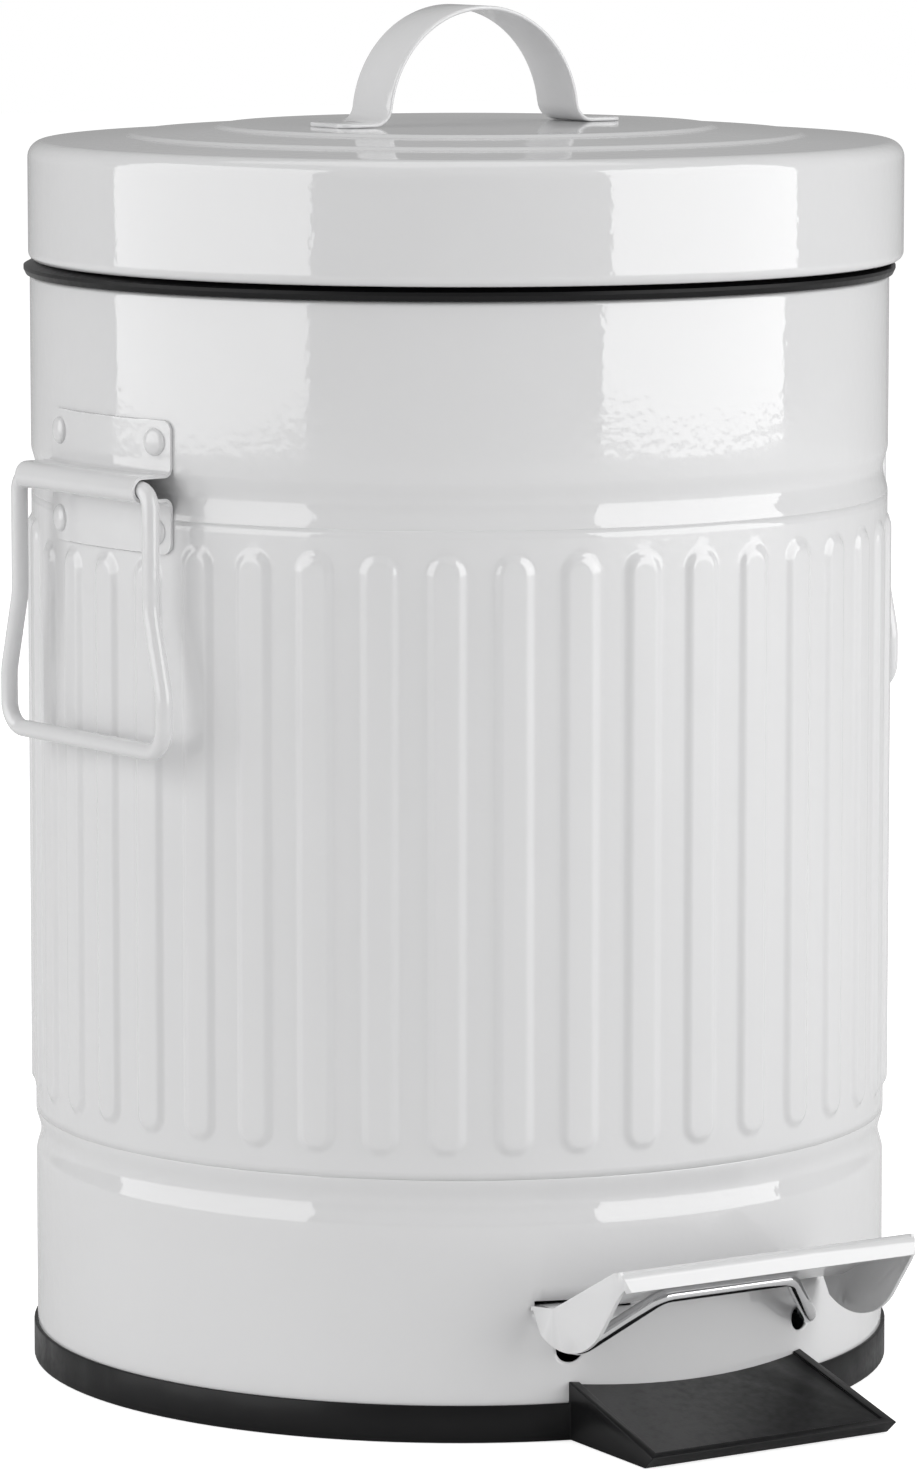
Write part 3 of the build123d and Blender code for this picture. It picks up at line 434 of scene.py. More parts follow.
def handling_group():
    """Handling marks: a mask of broad smudges, and the smudges broken up by fine specks."""
    sizes = {"Vector": None, "Smudge scale": 14.0, "Speck scale": 600.0}
    group, given, out = new_group("handling_marks", sizes, ["Mask", "Specks"])
    smudge = group_noise(group, given, "Smudge scale", 4.0)
    speck = group_noise(group, given, "Speck scale", 2.0)
    product = group_math(group, "MULTIPLY", smudge, speck)
    group.links.new(smudge, out.inputs["Mask"])
    group.links.new(product.outputs[0], out.inputs["Specks"])
    return group


def edge_highlight_group():
    """Mask of the painted edge highlight: one on convex edges, zero on flats and hollows."""
    group, given, out = new_group("painted_edge_highlight", {"Sharpness": 12.0}, ["Mask"])
    shape = group.nodes.new("ShaderNodeNewGeometry")
    above = group_math(group, "SUBTRACT", shape.outputs["Pointiness"], EDGE_START)
    grow = group_math(group, "MULTIPLY", above.outputs[0], given.outputs["Sharpness"])
    grow.use_clamp = True
    group.links.new(grow.outputs[0], out.inputs["Mask"])
    return group


def place_group(tree, name, build, values):
    """Group node with its own values. The group itself is built the first time it is placed."""
    node = tree.nodes.new("ShaderNodeGroup")
    node.node_tree = bpy.data.node_groups.get(name) or build()
    for label, value in values.items():
        node.inputs[label].default_value = value
    return node


def finish_material(name, shade, rough, ripple, bump, metallic=0.0, level=0.5, stretch=(1.0, 1.0, 1.0)):
    """One finish: a base colour dulled a little by smudges and lightened on convex edges as a painted
    edge highlight, roughness between two values by the specks, and a bump from the two-size ripple.
    The ripple gives its fine scale, long scale and long share, and the bump its strength and depth."""
    found = bpy.data.materials.get(name)
    if found:
        return found
    material = bpy.data.materials.new(name)
    material.use_nodes = True
    tree = material.node_tree
    surface = tree.nodes["Principled BSDF"]
    surface.inputs["Metallic"].default_value = metallic
    surface.inputs["Specular IOR Level"].default_value = level
    coordinates = tree.nodes.new("ShaderNodeTexCoord")
    mapping = tree.nodes.new("ShaderNodeMapping")
    mapping.inputs["Scale"].default_value = stretch
    tree.links.new(coordinates.outputs["Object"], mapping.inputs["Vector"])
    marks = place_group(tree, "handling_marks", handling_group, {"Smudge scale": 16.0, "Speck scale": 500.0})
    scales = dict(zip(("Fine scale", "Long scale", "Long share"), ripple))
    waves = place_group(tree, "surface_ripple", ripple_group, scales)
    edges = place_group(tree, "painted_edge_highlight", edge_highlight_group, {"Sharpness": 8.0})
    for node in (marks, waves):
        tree.links.new(mapping.outputs["Vector"], node.inputs["Vector"])
    smudged = [0.94 * c for c in shade]
    # Painted edge highlight: the lighter colour that convex edges are given, as where light catches them
    highlit = [min(1.0, 1.06 * c + 0.004) for c in shade]
    tone = tree.nodes.new("ShaderNodeMix")
    tone.data_type = "RGBA"
    tone.inputs["A"].default_value = (*shade, 1.0)
    tone.inputs["B"].default_value = (*smudged, 1.0)
    tree.links.new(marks.outputs["Mask"], tone.inputs["Factor"])
    # Mix that paints the edge highlight in along the convex edges
    edge_lit = tree.nodes.new("ShaderNodeMix")
    edge_lit.data_type = "RGBA"
    edge_lit.inputs["B"].default_value = (*highlit, 1.0)
    tree.links.new(edges.outputs["Mask"], edge_lit.inputs["Factor"])
    tree.links.new(tone.outputs["Result"], edge_lit.inputs["A"])
    tree.links.new(edge_lit.outputs["Result"], surface.inputs["Base Color"])
    spread = tree.nodes.new("ShaderNodeMapRange")
    spread.inputs["From Min"].default_value = 0.2
    spread.inputs["From Max"].default_value = 0.6
    spread.inputs["To Min"].default_value, spread.inputs["To Max"].default_value = rough
    tree.links.new(marks.outputs["Specks"], spread.inputs["Value"])
    tree.links.new(spread.outputs["Result"], surface.inputs["Roughness"])
    relief = tree.nodes.new("ShaderNodeBump")
    relief.inputs["Strength"].default_value, relief.inputs["Distance"].default_value = bump
    tree.links.new(waves.outputs["Height"], relief.inputs["Height"])
    tree.links.new(relief.outputs["Normal"], surface.inputs["Normal"])
    return material


def gloss_enamel(shades):
    """Gloss enamel on sheet steel, with faint orange peel over long waves of the sheet."""
    ripple, bump = (420.0, 24.0, 9.0), (0.35, 0.08 * MM)
    return finish_material("gloss_white_enamel", shades.enamel, (0.03, 0.09), ripple, bump, level=0.85)


def satin_plastic(shades):
    """Satin black moulded plastic with a fine moulded grain."""
    ripple, bump = (1500.0, 40.0, 2.0), (0.25, 0.04 * MM)
    return finish_material("satin_black_plastic", shades.plastic, (0.34, 0.5), ripple, bump, level=0.22)


def drawn_steel(shades):
    """Bright drawn wire, with fine marks stretched from front to back."""
    ripple, bump, stretch = (900.0, 60.0, 1.0), (0.35, 0.05 * MM), (1.0, 0.15, 1.0)
    return finish_material(
        "bright_drawn_steel", shades.steel, (0.10, 0.24), ripple, bump, metallic=1.0, stretch=stretch
    )


def plated_sheet(shades):
    """Zinc plated sheet, dull and slightly mottled."""
    ripple, bump = (300.0, 30.0, 1.5), (0.4, 0.06 * MM)
    return finish_material("zinc_plated_sheet", shades.zinc, (0.28, 0.44), ripple, bump, metallic=1.0)


FINISHES = {
    "white_enamel": gloss_enamel,
    "black_plastic": satin_plastic,
    "bright_steel": drawn_steel,
    "zinc_plate": plated_sheet,
}


def finish(slot):
    """A slot's material, in the colours that the scene holds."""
    return FINISHES[slot](bpy.context.scene.bin_finishes)


def half_turn(turn):
    """Angles brought between minus and plus half a turn."""
    return (turn + math.pi) % (2 * math.pi) - math.pi


def in_opening(middle, side):
    """Which quads, by their middles, lie in the slots and holes in front or the window at the back."""
    x, y, z = np.abs(middle[:, 0]), middle[:, 1], middle[:, 2]
    if side == "front":
        slot = (x > SLOT_NEAR) & (x < SLOT_FAR) & (np.abs(z - SLOT_HEIGHT) < SLOT_HALF)
        hole = np.hypot(x - HOLE_OUT, z - HOLE_HEIGHT) < HOLE_RADIUS * HOLE_INSIDE
        return (y < 0) & (slot | hole)
    if side == "back":
        return (y > 0) & (x < WINDOW_HALF) & (np.abs(z - WINDOW_HEIGHT) < WINDOW_RISE)
    return np.zeros(len(middle), bool)


def band(name, context, columns, profile, side=""):
    """Ring of the wall: at each azimuth and profile place, the profile's radius. A band with a side
    has that side's openings, and the band without one has the ribs' rise added to its radius."""
    sizes = context.scene.bin_wall
    turn, row = np.meshgrid(columns, np.arange(len(profile)))
    radius, z = profile[row, 0], profile[row, 1]
    if not side:
        radius = radius + rib_rise(turn, z, context)
    if side == "front":
        turn, z = open_wire_holes(turn, z, sizes)
    points = np.stack([radius * np.sin(turn), -radius * np.cos(turn), z], -1)
    quads = grid_faces(len(profile), len(columns), False, True)
    kept = quads[~in_opening(points.reshape(-1, 3)[quads].mean(1), side)]
    piece = make_piece(name, points, kept, "body", "body_shell", "white_enamel", AXIS_POINT)
    thicken(piece, sizes.sheet)


def rib_rise(turn, z, context):
    """Height of the ribs: full inside a long round-ended shape, falling to zero by a smooth step over
    its sloping side. The distance is across the rib, or from the end's centre beyond its straight.
    Ribs under a handle's bracket end lower."""
    sizes, handle = context.scene.bin_wall, context.scene.bin_handle
    pitch = math.radians(sizes.rib_pitch)
    last = (sizes.ribs - 1) // 2
    around = half_turn(turn)
    rib = np.clip(np.round(around / pitch), -last, last) * pitch
    cover = math.asin((handle.half + sizes.rib_width / 2) / sizes.radius)
    under = np.zeros(rib.shape, bool)
    for _, sign in HANDLES:
        under |= np.abs(rib - math.radians(sign * 90 + handle.turn)) < cover
    top = np.where(under, sizes.rib_short, sizes.rib_high)
    middle = (top + sizes.rib_low) / 2
    straight = (top - sizes.rib_low - sizes.rib_width) / 2
    along = np.maximum(np.abs(z - middle) - straight, 0)
    reach = np.hypot((around - rib) * sizes.radius, along)
    return sizes.rib_height * smooth_step((sizes.rib_width / 2 - reach) / sizes.rib_slope)


def open_wire_holes(turn, z, sizes):
    """Moves the grid round each lever hole so that its inner square becomes the hole's circle and
    the block's border stays: a point goes along its ray to the circle's radius times its ring's
    share, less and less so towards the border."""
    around = half_turn(turn)
    front = np.abs(around) < math.pi / 2
    x = sizes.radius * np.sin(around)
    for side in (-1, 1):
        across = x - side * HOLE_OUT
        up = z - HOLE_HEIGHT
        ring = np.maximum(np.abs(across), np.abs(up))
        near = front & (ring < HOLE_BLOCK) & (ring > 1e-7)
        reach = np.hypot(across, up) + 1e-12
        share = np.clip((HOLE_BLOCK - ring) / (HOLE_BLOCK - HOLE_SQUARE), 0, 1)
        target = HOLE_RADIUS * ring / HOLE_SQUARE / reach
        factor = 1 - share + share * target
        x = np.where(near, side * HOLE_OUT + across * factor, x)
        z = np.where(near, HOLE_HEIGHT + up * factor, z)
    return np.where(front, np.arcsin(np.clip(x / sizes.radius, -1, 1)), turn), z


def even_columns():
    """Azimuths at even steps all round."""
    return np.radians(np.arange(-180.0, 180.0, COLUMN_STEP))


def groove_rows(middle, sizes, count=17):
    """Profile rows over a groove: the wall's radius less its depth times a raised cosine, itself
    to the power 0.8."""
    place = np.linspace(-1, 1, count)
    fall = sizes.groove_depth * (0.5 + 0.5 * np.cos(math.pi * place)) ** 0.8
    return np.stack([sizes.radius - fall, middle + place * sizes.groove_half], -1)


def plain_rows(radius, heights):
    """Profile rows at one radius."""
    heights = np.asarray(heights, float)
    return np.stack([np.full(len(heights), radius), heights], -1)


class BIN_OT_wall(bpy.types.Operator):
    """Ribbed wall in three bands: pedal band, ribs, and top band with its curled edge"""

    bl_idname = "bin.wall"
    bl_label = "Ribbed wall"

    def execute(self, context):
        sizes = context.scene.bin_wall
        seam_low = sizes.groove_low + sizes.groove_half + SEAM_CLEAR
        seam_high = sizes.groove_high - sizes.groove_half - SEAM_CLEAR
        self.pedal_band(context, seam_low)
        self.rib_band(context, seam_low, seam_high)
        self.top_band(context, seam_high)
        return {"FINISHED"}

    def pedal_band(self, context, seam):
        """Columns stand at the slots' ends and through the holes' blocks, rows at their edges."""
        sizes = context.scene.bin_wall
        block = np.linspace(-HOLE_BLOCK, HOLE_BLOCK, HOLE_LINES)
        exact = np.sort(np.concatenate([[SLOT_NEAR, SLOT_FAR], HOLE_OUT + block]))
        exact = np.arcsin(exact / sizes.radius)
        plain = even_columns()
        near = (np.abs(plain) > exact[1] - BLOCK_ROOM) & (np.abs(plain) < exact[-1] + BLOCK_ROOM)
        near |= np.abs(np.abs(plain) - exact[0]) < COLUMN_ROOM
        columns = np.sort(np.concatenate([plain[~near], exact, -exact]))
        below = [sizes.low, 6 * MM, 10 * MM]
        slot = [SLOT_HEIGHT - SLOT_HALF, SLOT_HEIGHT, SLOT_HEIGHT + SLOT_HALF]
        above = [36 * MM, 40 * MM, 45 * MM]
        rows = [
            plain_rows(sizes.radius, [*below, *(HOLE_HEIGHT + block), *slot, *above]),
            groove_rows(sizes.groove_low, sizes),
            plain_rows(sizes.radius, [seam]),
        ]
        band("wall_pedal_band", context, columns, np.concatenate(rows), "front")

    def rib_band(self, context, low, high):
        """Columns crowd on each rib's two slopes, rows at its round ends."""
        sizes = context.scene.bin_wall
        half = RIB_LINES / sizes.radius
        last = (sizes.ribs - 1) // 2
        centres = np.radians(sizes.rib_pitch) * np.arange(-last, last + 1)
        end = centres[-1] + half[-1]
        back = end + np.linspace(0, 2 * (math.pi - end), 8)[1:-1]
        lines = centres[:, None] + np.concatenate([-half[::-1], half])
        columns = np.concatenate([lines.ravel(), back])
        close = 0.5 * MM
        feet = np.arange(sizes.rib_low - 0.3 * MM, sizes.rib_low + 6.2 * MM, close)
        heads = np.arange(sizes.rib_short - 6.0 * MM, sizes.rib_high + 0.6 * MM, close)
        below, above = [low, 63 * MM], [208 * MM, high]
        straight = np.array([76.0, 95.0, 115.0, 135.0, 155.0, 175.0, 190.0]) * MM
        rows = plain_rows(sizes.radius, np.concatenate([below, feet, straight, heads, above]))
        band("wall_rib_band", context, columns, rows)

    def top_band(self, context, seam):
        """Rows run up over the upper groove and round the curl, and stand at the hinge window."""
        sizes = context.scene.bin_wall
        edge = math.pi - math.asin(WINDOW_HALF / sizes.radius)
        plain = even_columns()
        plain = plain[np.abs(np.abs(plain) - edge) > COLUMN_ROOM]
        columns = np.sort(np.concatenate([plain, [edge, -edge]]))
        window = [WINDOW_HEIGHT - WINDOW_RISE, WINDOW_HEIGHT, WINDOW_HEIGHT + WINDOW_RISE]
        below, above = 226 * MM, 258.5 * MM
        rows = [
            plain_rows(sizes.radius, [seam]),
            groove_rows(sizes.groove_high, sizes),
            plain_rows(sizes.radius, [below, *window, above]),
            arc_rows(sizes.radius - sizes.curl, WALL_TOP - sizes.curl, sizes.curl, 0, 250, 16),
        ]
        band("wall_top_band", context, columns, np.concatenate(rows), "back")


def lid_profile(sizes, inner):
    """Lid's outer or inner line in (radius, height), from the axis to the hem's end. The top falls
    by two smooth steps and two even slopes, then a shoulder arc, the skirt and the hem's arc."""
    sheet = sizes.sheet if inner else 0.0
    rim = sizes.low + sizes.skirt
    top = rim + sizes.dome
    shoulder = sizes.radius - sizes.edge
    over_step = np.linspace(-0.2, 1.2, 12) * sizes.step_run
    rings = [ring + over_step for ring in (sizes.ring_inner, sizes.ring_outer)]
    radius = np.unique(np.concatenate([np.linspace(0, shoulder, 22), *rings]))
    slope = (sizes.dome - 2 * sizes.step) / 2
    fall = np.zeros_like(radius)
    for ring, end in ((sizes.ring_inner, sizes.ring_outer), (sizes.ring_outer, shoulder)):
        foot = ring + sizes.step_run
        fall += sizes.step * smooth_step((radius - ring) / sizes.step_run)
        fall += slope * np.clip((radius - foot) / (end - foot), 0, 1)
    crown = np.stack([radius, top - sheet - fall], -1)
    low = rim - sizes.edge
    hem_top = sizes.low + sizes.hem
    arc = arc_rows(shoulder, low, sizes.edge - sheet, 90, 0, 12)[1:]
    near = 0.3 * MM
    skirt = plain_rows(sizes.radius - sheet, [low - near, (low + sizes.low) / 2, hem_top + near])
    hem = arc_rows(sizes.radius - sizes.hem, hem_top, sizes.hem - sheet, 0, -90, 9)
    return np.concatenate([crown, arc, skirt, hem])


class BIN_OT_lid(bpy.types.Operator):
    """Domed lid with two pressed rings, a rounded shoulder, a skirt and a turned-in hem"""

    bl_idname = "bin.lid"
    bl_label = "Lid"

    def execute(self, context):
        sizes = context.scene.bin_lid
        outer = lid_profile(sizes, False)
        inner = lid_profile(sizes, True)[::-1]
        points, quads = lathe(np.concatenate([outer, inner]), sizes.shift)
        make_piece("lid_cap", points, quads, "lid", "lid_shell", "white_enamel")
        return {"FINISHED"}


class BIN_OT_strap(bpy.types.Operator):
    """Bent strap handle on the lid, with two rounded feet"""

    bl_idname = "bin.strap"
    bl_label = "Lid strap"

    def execute(self, context):
        sizes = context.scene.bin_lid
        half = sizes.strap_sheet / 2
        top = sizes.low + sizes.skirt + sizes.dome
        foot = STRAP_FOOT + half
        arch = sizes.strap_arch - half
        bend = sizes.strap_bend + half
        centre = top + sizes.strap_height - sizes.strap_arch
        rise = foot + bend - centre
        out = math.sqrt((arch + bend) ** 2 - rise**2)
        turn = math.degrees(math.atan2(rise, out))
        end = sizes.strap_half - np.linspace(0, 1, 9) ** 2 * sizes.strap_corner
        feet = np.stack([end, np.full(len(end), foot)], -1)
        low_bend = arc_rows(out, foot + bend, bend, 270, 180 + turn, 12)
        crown = arc_rows(0, centre, arch, turn, 90, 30)[1:]
        right = np.concatenate([feet, low_bend, crown])
        line = np.concatenate([right, right[-2::-1] * (-1, 1)])
        path = np.stack([line[:, 0], np.full(len(line), -sizes.shift), line[:, 1]], -1)
        past = np.maximum(np.abs(line[:, 0]) - (sizes.strap_half - sizes.strap_corner), 0)
        inset = sizes.strap_corner - np.sqrt(np.maximum(sizes.strap_corner**2 - past**2, 0))
        points, quads = self.ribbon(path, sizes.strap_width / 2 - inset, half)
        make_piece("strap_handle", points, quads, "lid", "lid_strap", "white_enamel")
        return {"FINISHED"}

    def ribbon(self, path, half_width, half_sheet):
        """Flat strap carried along a path: its section is a slot shape, half the width less the
        round across, and the sheet's half thickness round each edge. The ends are closed flat."""
        tangent, side, rise = path_frames(path, (0, 1, 0), False)
        turn = np.radians(np.concatenate([np.linspace(-90, 90, 7), np.linspace(90, 270, 7)]))
        sign = np.repeat([1.0, -1.0], 7)
        across = sign[None] * (half_width[:, None] - half_sheet) + half_sheet * np.cos(turn)[None]
        up = half_sheet * np.sin(turn)[None] * np.ones_like(across)
        points = path[:, None] + across[..., None] * rise[:, None] + up[..., None] * side[:, None]
        cap_low = path[0] + 0 * points[:1]
        cap_high = path[-1] + 0 * points[-1:]
        points = np.concatenate([cap_low, points, cap_high])
        return points, grid_faces(len(points), points.shape[1], False, True)


def turned_by(points, degrees):
    """Points turned about the upright axis."""
    turn = math.radians(degrees)
    cosine, sine = math.cos(turn), math.sin(turn)
    x, y = points[..., 0], points[..., 1]
    return np.stack([x * cosine - y * sine, x * sine + y * cosine, points[..., 2]], -1)


class BIN_OT_side_handles(bpy.types.Operator):
    """Two wire loops, the folded brackets that they swing in, and the brackets' rivets"""

    bl_idname = "bin.side_handles"
    bl_label = "Side handles"

    def execute(self, context):
        sizes = context.scene.bin_handle
        for side, sign in HANDLES:
            azimuth = sign * 90 + sizes.turn
            self.loop(sizes, side, azimuth)
            self.bracket(context, side, azimuth)
            self.rivets(context, side, azimuth)
        return {"FINISHED"}

    def loop(self, sizes, side, azimuth):
        """Wire carried round the flared loop's corners."""
        flare_high = sizes.height - sizes.straight
        right = [
            (sizes.half_top, sizes.height),
            (sizes.half_top, flare_high),
            (sizes.half_low, flare_high - sizes.flare),
            (sizes.half_low, sizes.height - sizes.drop),
        ]
        corners = [(x, -sizes.bar, z) for x, z in right + [(-x, z) for x, z in reversed(right)]]
        bends = [sizes.bend_top, sizes.bend_flare, sizes.bend_flare, sizes.bend_low]
        path = rounded_path(corners, bends + bends[::-1], True, 12)
        points, quads = wire(path, sizes.wire, (0, 1, 0), True)
        node = f"side_bail_{side}"
        make_piece(f"side_loop_{side}", turned_by(points, azimuth), quads, node, node, "white_enamel")

    def bracket(self, context, side, azimuth):
        """Sheet on the wall's curve. Down its height the section runs along the wall, up a fillet,
        out to the bar's middle, round it in a half circle, and back. The corners are rounded."""
        sizes = context.scene.bin_handle
        skin = sizes.bore + sizes.sheet
        fillet, corner = sizes.fillet, sizes.corner
        tall = sizes.tall / 2
        columns = 41
        edge = tall - corner * (1 - np.sin(np.linspace(0, math.pi / 2, 9)))
        flat_z = np.concatenate([edge[::-1], np.linspace(tall - corner, skin + fillet, 6)[1:]])
        bend = np.linspace(0, math.pi / 2, 8)[1:]
        ring = np.linspace(0, math.pi / 2, 10)[1:]
        half_z = np.concatenate([flat_z, skin + fillet * (1 - np.sin(bend)), [skin], skin * np.cos(ring)])
        on_plate = len(flat_z) + len(bend)
        off_wall = np.zeros(len(half_z))
        off_wall[len(flat_z) : on_plate] = fillet * (1 - np.cos(bend))
        off_bar = np.zeros(len(half_z))
        off_bar[on_plate + 1 :] = skin * np.sin(ring)
        round_bar = np.arange(len(half_z)) >= on_plate
        z = np.concatenate([half_z, -half_z[-2::-1]])
        off_wall, off_bar, round_bar = (
            np.concatenate([a, a[-2::-1]])[:, None] for a in (off_wall, off_bar, round_bar)
        )
        past = np.maximum(np.abs(z) - (tall - corner), 0)
        inset = corner - np.sqrt(np.maximum(corner**2 - past**2, 0))
        x = np.linspace(-1, 1, columns)[None] * (sizes.half - inset)[:, None]
        seat = context.scene.bin_wall.radius + SEAT + sizes.sheet
        out = np.where(round_bar, sizes.bar + off_bar, np.sqrt(seat**2 - x**2) + off_wall)
        points = np.stack([x, -out, np.repeat((sizes.height + z)[:, None], columns, 1)], -1)
        piece = make_piece(
            f"folded_bracket_{side}",
            turned_by(points, azimuth),
            grid_faces(len(z), columns),
            "body",
            f"handle_bracket_{side}",
            "white_enamel",
            AXIS_POINT,
        )
        thicken(piece, sizes.sheet, sizes.bracket_edge)

    def rivets(self, context, side, azimuth):
        """Four domed heads at the bracket's corners. A head's height over the sheet is its dome times
        the square root of one less the cube of its share of the radius, and its foot is sunk."""
        sizes = context.scene.bin_handle
        wall = context.scene.bin_wall.radius
        reach = math.degrees(math.asin(sizes.rivet_out / wall))
        crown = np.concatenate([np.linspace(0, 0.8, 7), [0.88, 0.94, 0.98, 1.0]])
        foot = np.array([1.0, 0.5, 0.0])
        share = np.concatenate([crown, foot])[:, None]
        dome = sizes.dome * np.sqrt(1 - crown**3) + RIVET_LIFT
        height = np.concatenate([dome, np.full(len(foot), -RIVET_SINK)])[:, None]
        angle = np.linspace(0, 2 * math.pi, RIVET_SIDES, endpoint=False)
        x = sizes.rivet * share * np.cos(angle)
        up = sizes.height + sizes.rivet * share * np.sin(angle)
        out = -(wall + SEAT + sizes.sheet + np.repeat(height, RIVET_SIDES, 1))
        head = np.stack([x, out, up], -1)
        heads = [
            turned_by(head + (0, 0, rise), azimuth + turn)
            for turn in (-reach, reach)
            for rise in (-sizes.rivet_rise, sizes.rivet_rise)
        ]
        quads = grid_faces(len(share), RIVET_SIDES, False, True)
        quads = np.concatenate([quads + i * x.size for i in range(len(heads))])
        node = f"handle_rivets_{side}"
        make_piece(f"rivet_heads_{side}", np.stack(heads), quads, "body", node, "white_enamel")


class BIN_OT_wires(bpy.types.Operator):
    """Bright wires: the pedal lever's closed loop and the bucket's half-round bail"""

    bl_idname = "bin.wires"
    bl_label = "Bright wires"

    def execute(self, context):
        sizes = context.scene.bin_wires
        self.lever(sizes, context.scene.bin_wall.radius)
        self.bail(sizes)
        return {"FINISHED"}

    def lever(self, sizes, wall):
        """Loop from the bar under the pedal back through the wall to the push rod's eye."""
        wall_y = -math.sqrt(wall**2 - HOLE_OUT**2)
        right = [
            (sizes.lever_rear, LEVER_HIGH.y - sizes.lever, sizes.lever_height),
            (HOLE_OUT, wall_y + sizes.lever_inside, sizes.lever_height),
            (HOLE_OUT, wall_y - sizes.lever_outside, sizes.lever_height),
            (sizes.lever_front, LEVER_LOW.y + sizes.lever, LEVER_HIGH.z - sizes.lever),
        ]
        corners = right + [(-x, y, z) for x, y, z in reversed(right)]
        path = rounded_path(corners, [sizes.lever_bend] * len(corners), True)
        points, quads = wire(path, sizes.lever, (0, 0, 1), True)
        make_piece("lever_loop", points, quads, "lever", "lever_wire", "bright_steel")

    def bail(self, sizes):
        """Half circle in front, with its two ends turned out through the bucket's ears."""
        bend = sizes.bail_bend
        tip = BAIL_HIGH.x - DOME_SHARE * sizes.bail
        height = (BAIL_LOW.z + BAIL_HIGH.z) / 2
        bow = -BAIL_LOW.y - sizes.bail
        end = math.sqrt((bow + bend) ** 2 - bend**2)
        join = math.degrees(math.atan2(bend, end))
        hook = arc_rows(end, -bend, bend, 90, 180 - join, 10)
        half_round = arc_rows(0, 0, bow, -join, join - 180, 60)[1:-1]
        line = np.concatenate([[[tip, 0.0]], hook, half_round, hook[::-1] * (-1, 1), [[-tip, 0.0]]])
        path = np.column_stack([line, np.full(len(line), height)])
        points, quads = wire(path, sizes.bail, (0, 0, 1), False)
        make_piece("bucket_wire", points, quads, "bucket_bail", "bucket_bail", "bright_steel")


def softened(node, name, body, slot, width):
    """A merged copy of a solid's surface with its sharp edges rounded."""
    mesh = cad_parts[node].data.copy()
    mesh.name = name
    work = bmesh.new()
    work.from_mesh(mesh)
    bmesh.ops.remove_doubles(work, verts=work.verts, dist=2e-6)
    bmesh.ops.dissolve_degenerate(work, edges=work.edges, dist=1e-6)
    work.to_mesh(mesh)
    work.free()
    mesh.materials.clear()
    mesh.polygons.foreach_set("material_index", np.zeros(len(mesh.polygons), np.int32))
    soften(place_piece(name, mesh, body, node, slot), width, 28.0)


class BIN_OT_pressed_parts(bpy.types.Operator):
    """Pressed and moulded parts that keep the solids' shapes with softer edges"""

    bl_idname = "bin.pressed_parts"
    bl_label = "Pressed parts"

    def execute(self, context):
        sizes = context.scene.bin_wires
        softened("pedal", "pedal_plate", "pedal", "white_enamel", sizes.pedal_edge)
        softened("base_ring", "base_and_foot", "body", "black_plastic", sizes.foot_edge)
        return {"FINISHED"}


class BIN_OT_solid_parts(bpy.types.Operator):
    """Finishes of the solids that keep their own surfaces"""

    bl_idname = "bin.solid_parts"
    bl_label = "Solid parts"

    def execute(self, context):
        for slot, solids in KEPT_SOLIDS.items():
            for solid in solids:
                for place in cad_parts[solid].material_slots:
                    place.material = finish(slot)
        return {"FINISHED"}


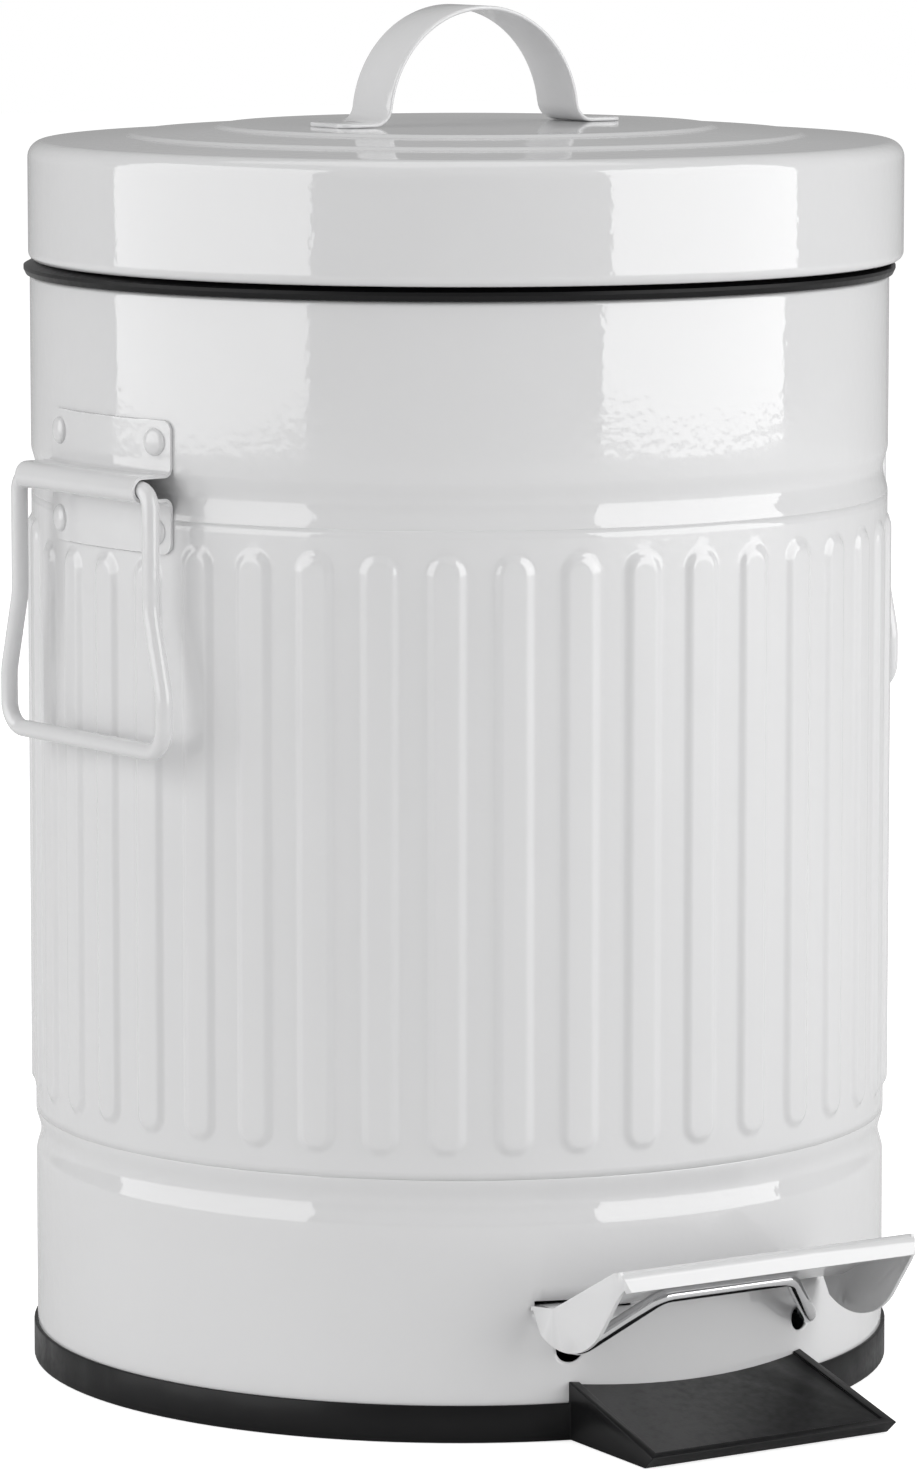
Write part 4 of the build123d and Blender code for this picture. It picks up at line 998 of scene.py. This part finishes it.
class BIN_OT_stage(bpy.types.Operator):
    """Pale floor, two tall soft boxes, a soft top light and the camera"""

    bl_idname = "bin.stage"
    bl_label = "Stage"

    def execute(self, context):
        self.world(context)
        self.floor(context)
        self.camera(context)
        for name, turn, wide, power in SOFT_BOXES:
            self.soft_box(name, turn, wide, power)
        top = self.new_light("soft_top", TOP_PLACE, TOP_POWER)
        top.data.shape = "SQUARE"
        top.data.size = TOP_SIZE
        context.scene.view_settings.view_transform = "Standard"
        return {"FINISHED"}

    def world(self, context):
        """White for the camera, and a plain grey surround as light."""
        world = bpy.data.worlds.new("studio")
        context.scene.world = world
        world.use_nodes = True
        tree = world.node_tree
        shade = tree.nodes["Background"]
        shade.inputs["Color"].default_value = (1.0, 1.0, 1.0, 1.0)
        shade.inputs["Strength"].default_value = SURROUND
        white = tree.nodes.new("ShaderNodeBackground")
        white.inputs["Color"].default_value = (1.0, 1.0, 1.0, 1.0)
        white.inputs["Strength"].default_value = 1.0
        path = tree.nodes.new("ShaderNodeLightPath")
        mix = tree.nodes.new("ShaderNodeMixShader")
        out = tree.nodes["World Output"]
        tree.links.new(path.outputs["Is Camera Ray"], mix.inputs[0])
        tree.links.new(shade.outputs[0], mix.inputs[1])
        tree.links.new(white.outputs[0], mix.inputs[2])
        tree.links.new(mix.outputs[0], out.inputs["Surface"])

    def floor(self, context):
        """Square floor whose colour is lifted to white for the camera, so that it keeps a shadow."""
        signs = ((-1, -1), (1, -1), (1, 1), (-1, 1))
        corners = [(x * FLOOR_HALF, y * FLOOR_HALF, -FLOOR_DROP) for x, y in signs]
        mesh = bpy.data.meshes.new("floor")
        mesh.from_pydata(corners, [], [(0, 1, 2, 3)])
        floor = new_object("floor", mesh)
        material = bpy.data.materials.new("pale_floor")
        material.use_nodes = True
        tree = material.node_tree
        surface = tree.nodes["Principled BSDF"]
        surface.inputs["Base Color"].default_value = (*context.scene.bin_finishes.floor, 1.0)
        surface.inputs["Roughness"].default_value = 0.6
        surface.inputs["Specular IOR Level"].default_value = 0.2
        glow = tree.nodes.new("ShaderNodeEmission")
        glow.inputs["Strength"].default_value = FLOOR_LIFT
        path = tree.nodes.new("ShaderNodeLightPath")
        lift = tree.nodes.new("ShaderNodeMixShader")
        both = tree.nodes.new("ShaderNodeAddShader")
        tree.links.new(surface.outputs[0], both.inputs[0])
        tree.links.new(glow.outputs[0], both.inputs[1])
        tree.links.new(path.outputs["Is Camera Ray"], lift.inputs[0])
        tree.links.new(surface.outputs[0], lift.inputs[1])
        tree.links.new(both.outputs[0], lift.inputs[2])
        tree.links.new(lift.outputs[0], tree.nodes["Material Output"].inputs["Surface"])
        mesh.materials.append(material)

    def camera(self, context):
        """The photograph's view: turned about the upright axis and tilted down a little."""
        data = bpy.data.cameras.new("camera")
        data.lens = VIEW_LENS
        data.sensor_width = VIEW_SENSOR
        camera = new_object("camera", data)
        sine, cosine = math.sin(VIEW_TURN), math.cos(VIEW_TURN)
        camera.location = (-VIEW_FAR * sine, -VIEW_FAR * cosine, VIEW_HEIGHT)
        level = math.cos(VIEW_DOWN)
        way = Vector((sine * level, cosine * level, -math.sin(VIEW_DOWN)))
        camera.rotation_euler = way.to_track_quat("-Z", "Y").to_euler()
        context.scene.camera = camera

    def new_light(self, name, place, power):
        """Area light at a place, which the camera doesn't see."""
        data = bpy.data.lights.new(name, "AREA")
        data.energy = power
        light = new_object(name, data)
        light.location = place
        light.visible_camera = False
        return light

    def soft_box(self, name, turn, wide, power):
        """Tall panel at an angle to the camera's side, aimed at the bin's axis."""
        toward = VIEW_TURN - math.radians(turn)
        place = Vector((-BOX_FAR * math.sin(toward), -BOX_FAR * math.cos(toward), BOX_MIDDLE))
        light = self.new_light(name, place, power)
        light.data.shape = "RECTANGLE"
        light.data.size, light.data.size_y = wide, BOX_TALL
        aim = Vector((0, 0, BOX_MIDDLE)) - place
        light.rotation_euler = aim.to_track_quat("-Z", "Y").to_euler()


OPERATORS = (
    BIN_OT_wall,
    BIN_OT_lid,
    BIN_OT_strap,
    BIN_OT_side_handles,
    BIN_OT_wires,
    BIN_OT_pressed_parts,
    BIN_OT_solid_parts,
    BIN_OT_stage,
)


class BIN_PT_pieces(bpy.types.Panel):
    """Sidebar list of the bin's pieces"""

    bl_idname = "BIN_PT_pieces"
    bl_label = "Step-on bin"
    bl_space_type = "VIEW_3D"
    bl_region_type = "UI"
    bl_category = "Bin"

    def draw(self, context):
        layout = self.layout
        for operator in OPERATORS:
            layout.operator(operator.bl_idname)
        for group in GROUPS:
            box = layout.box()
            sizes = getattr(context.scene, group)
            for key in sizes.bl_rna.properties.keys():
                if key not in ("rna_type", "name"):
                    box.prop(sizes, key)


GROUPS = {
    "bin_wall": BinWallSizes,
    "bin_handle": BinHandleSizes,
    "bin_lid": BinLidSizes,
    "bin_wires": BinWireSizes,
    "bin_finishes": BinFinishes,
}


def register():
    """Adds the groups, operators and panel to Blender."""
    for kind in (*GROUPS.values(), *OPERATORS, BIN_PT_pieces):
        bpy.utils.register_class(kind)
    for name, kind in GROUPS.items():
        setattr(bpy.types.Scene, name, PointerProperty(type=kind))


def unregister():
    """Takes them out again."""
    for name in GROUPS:
        delattr(bpy.types.Scene, name)
    for kind in reversed((*GROUPS.values(), *OPERATORS, BIN_PT_pieces)):
        bpy.utils.unregister_class(kind)


def main():
    """Builds the bin piece by piece."""
    register()
    for operator in OPERATORS:
        getattr(bpy.ops.bin, operator.bl_idname.removeprefix("bin."))()


if __name__ == "__main__":
    main()
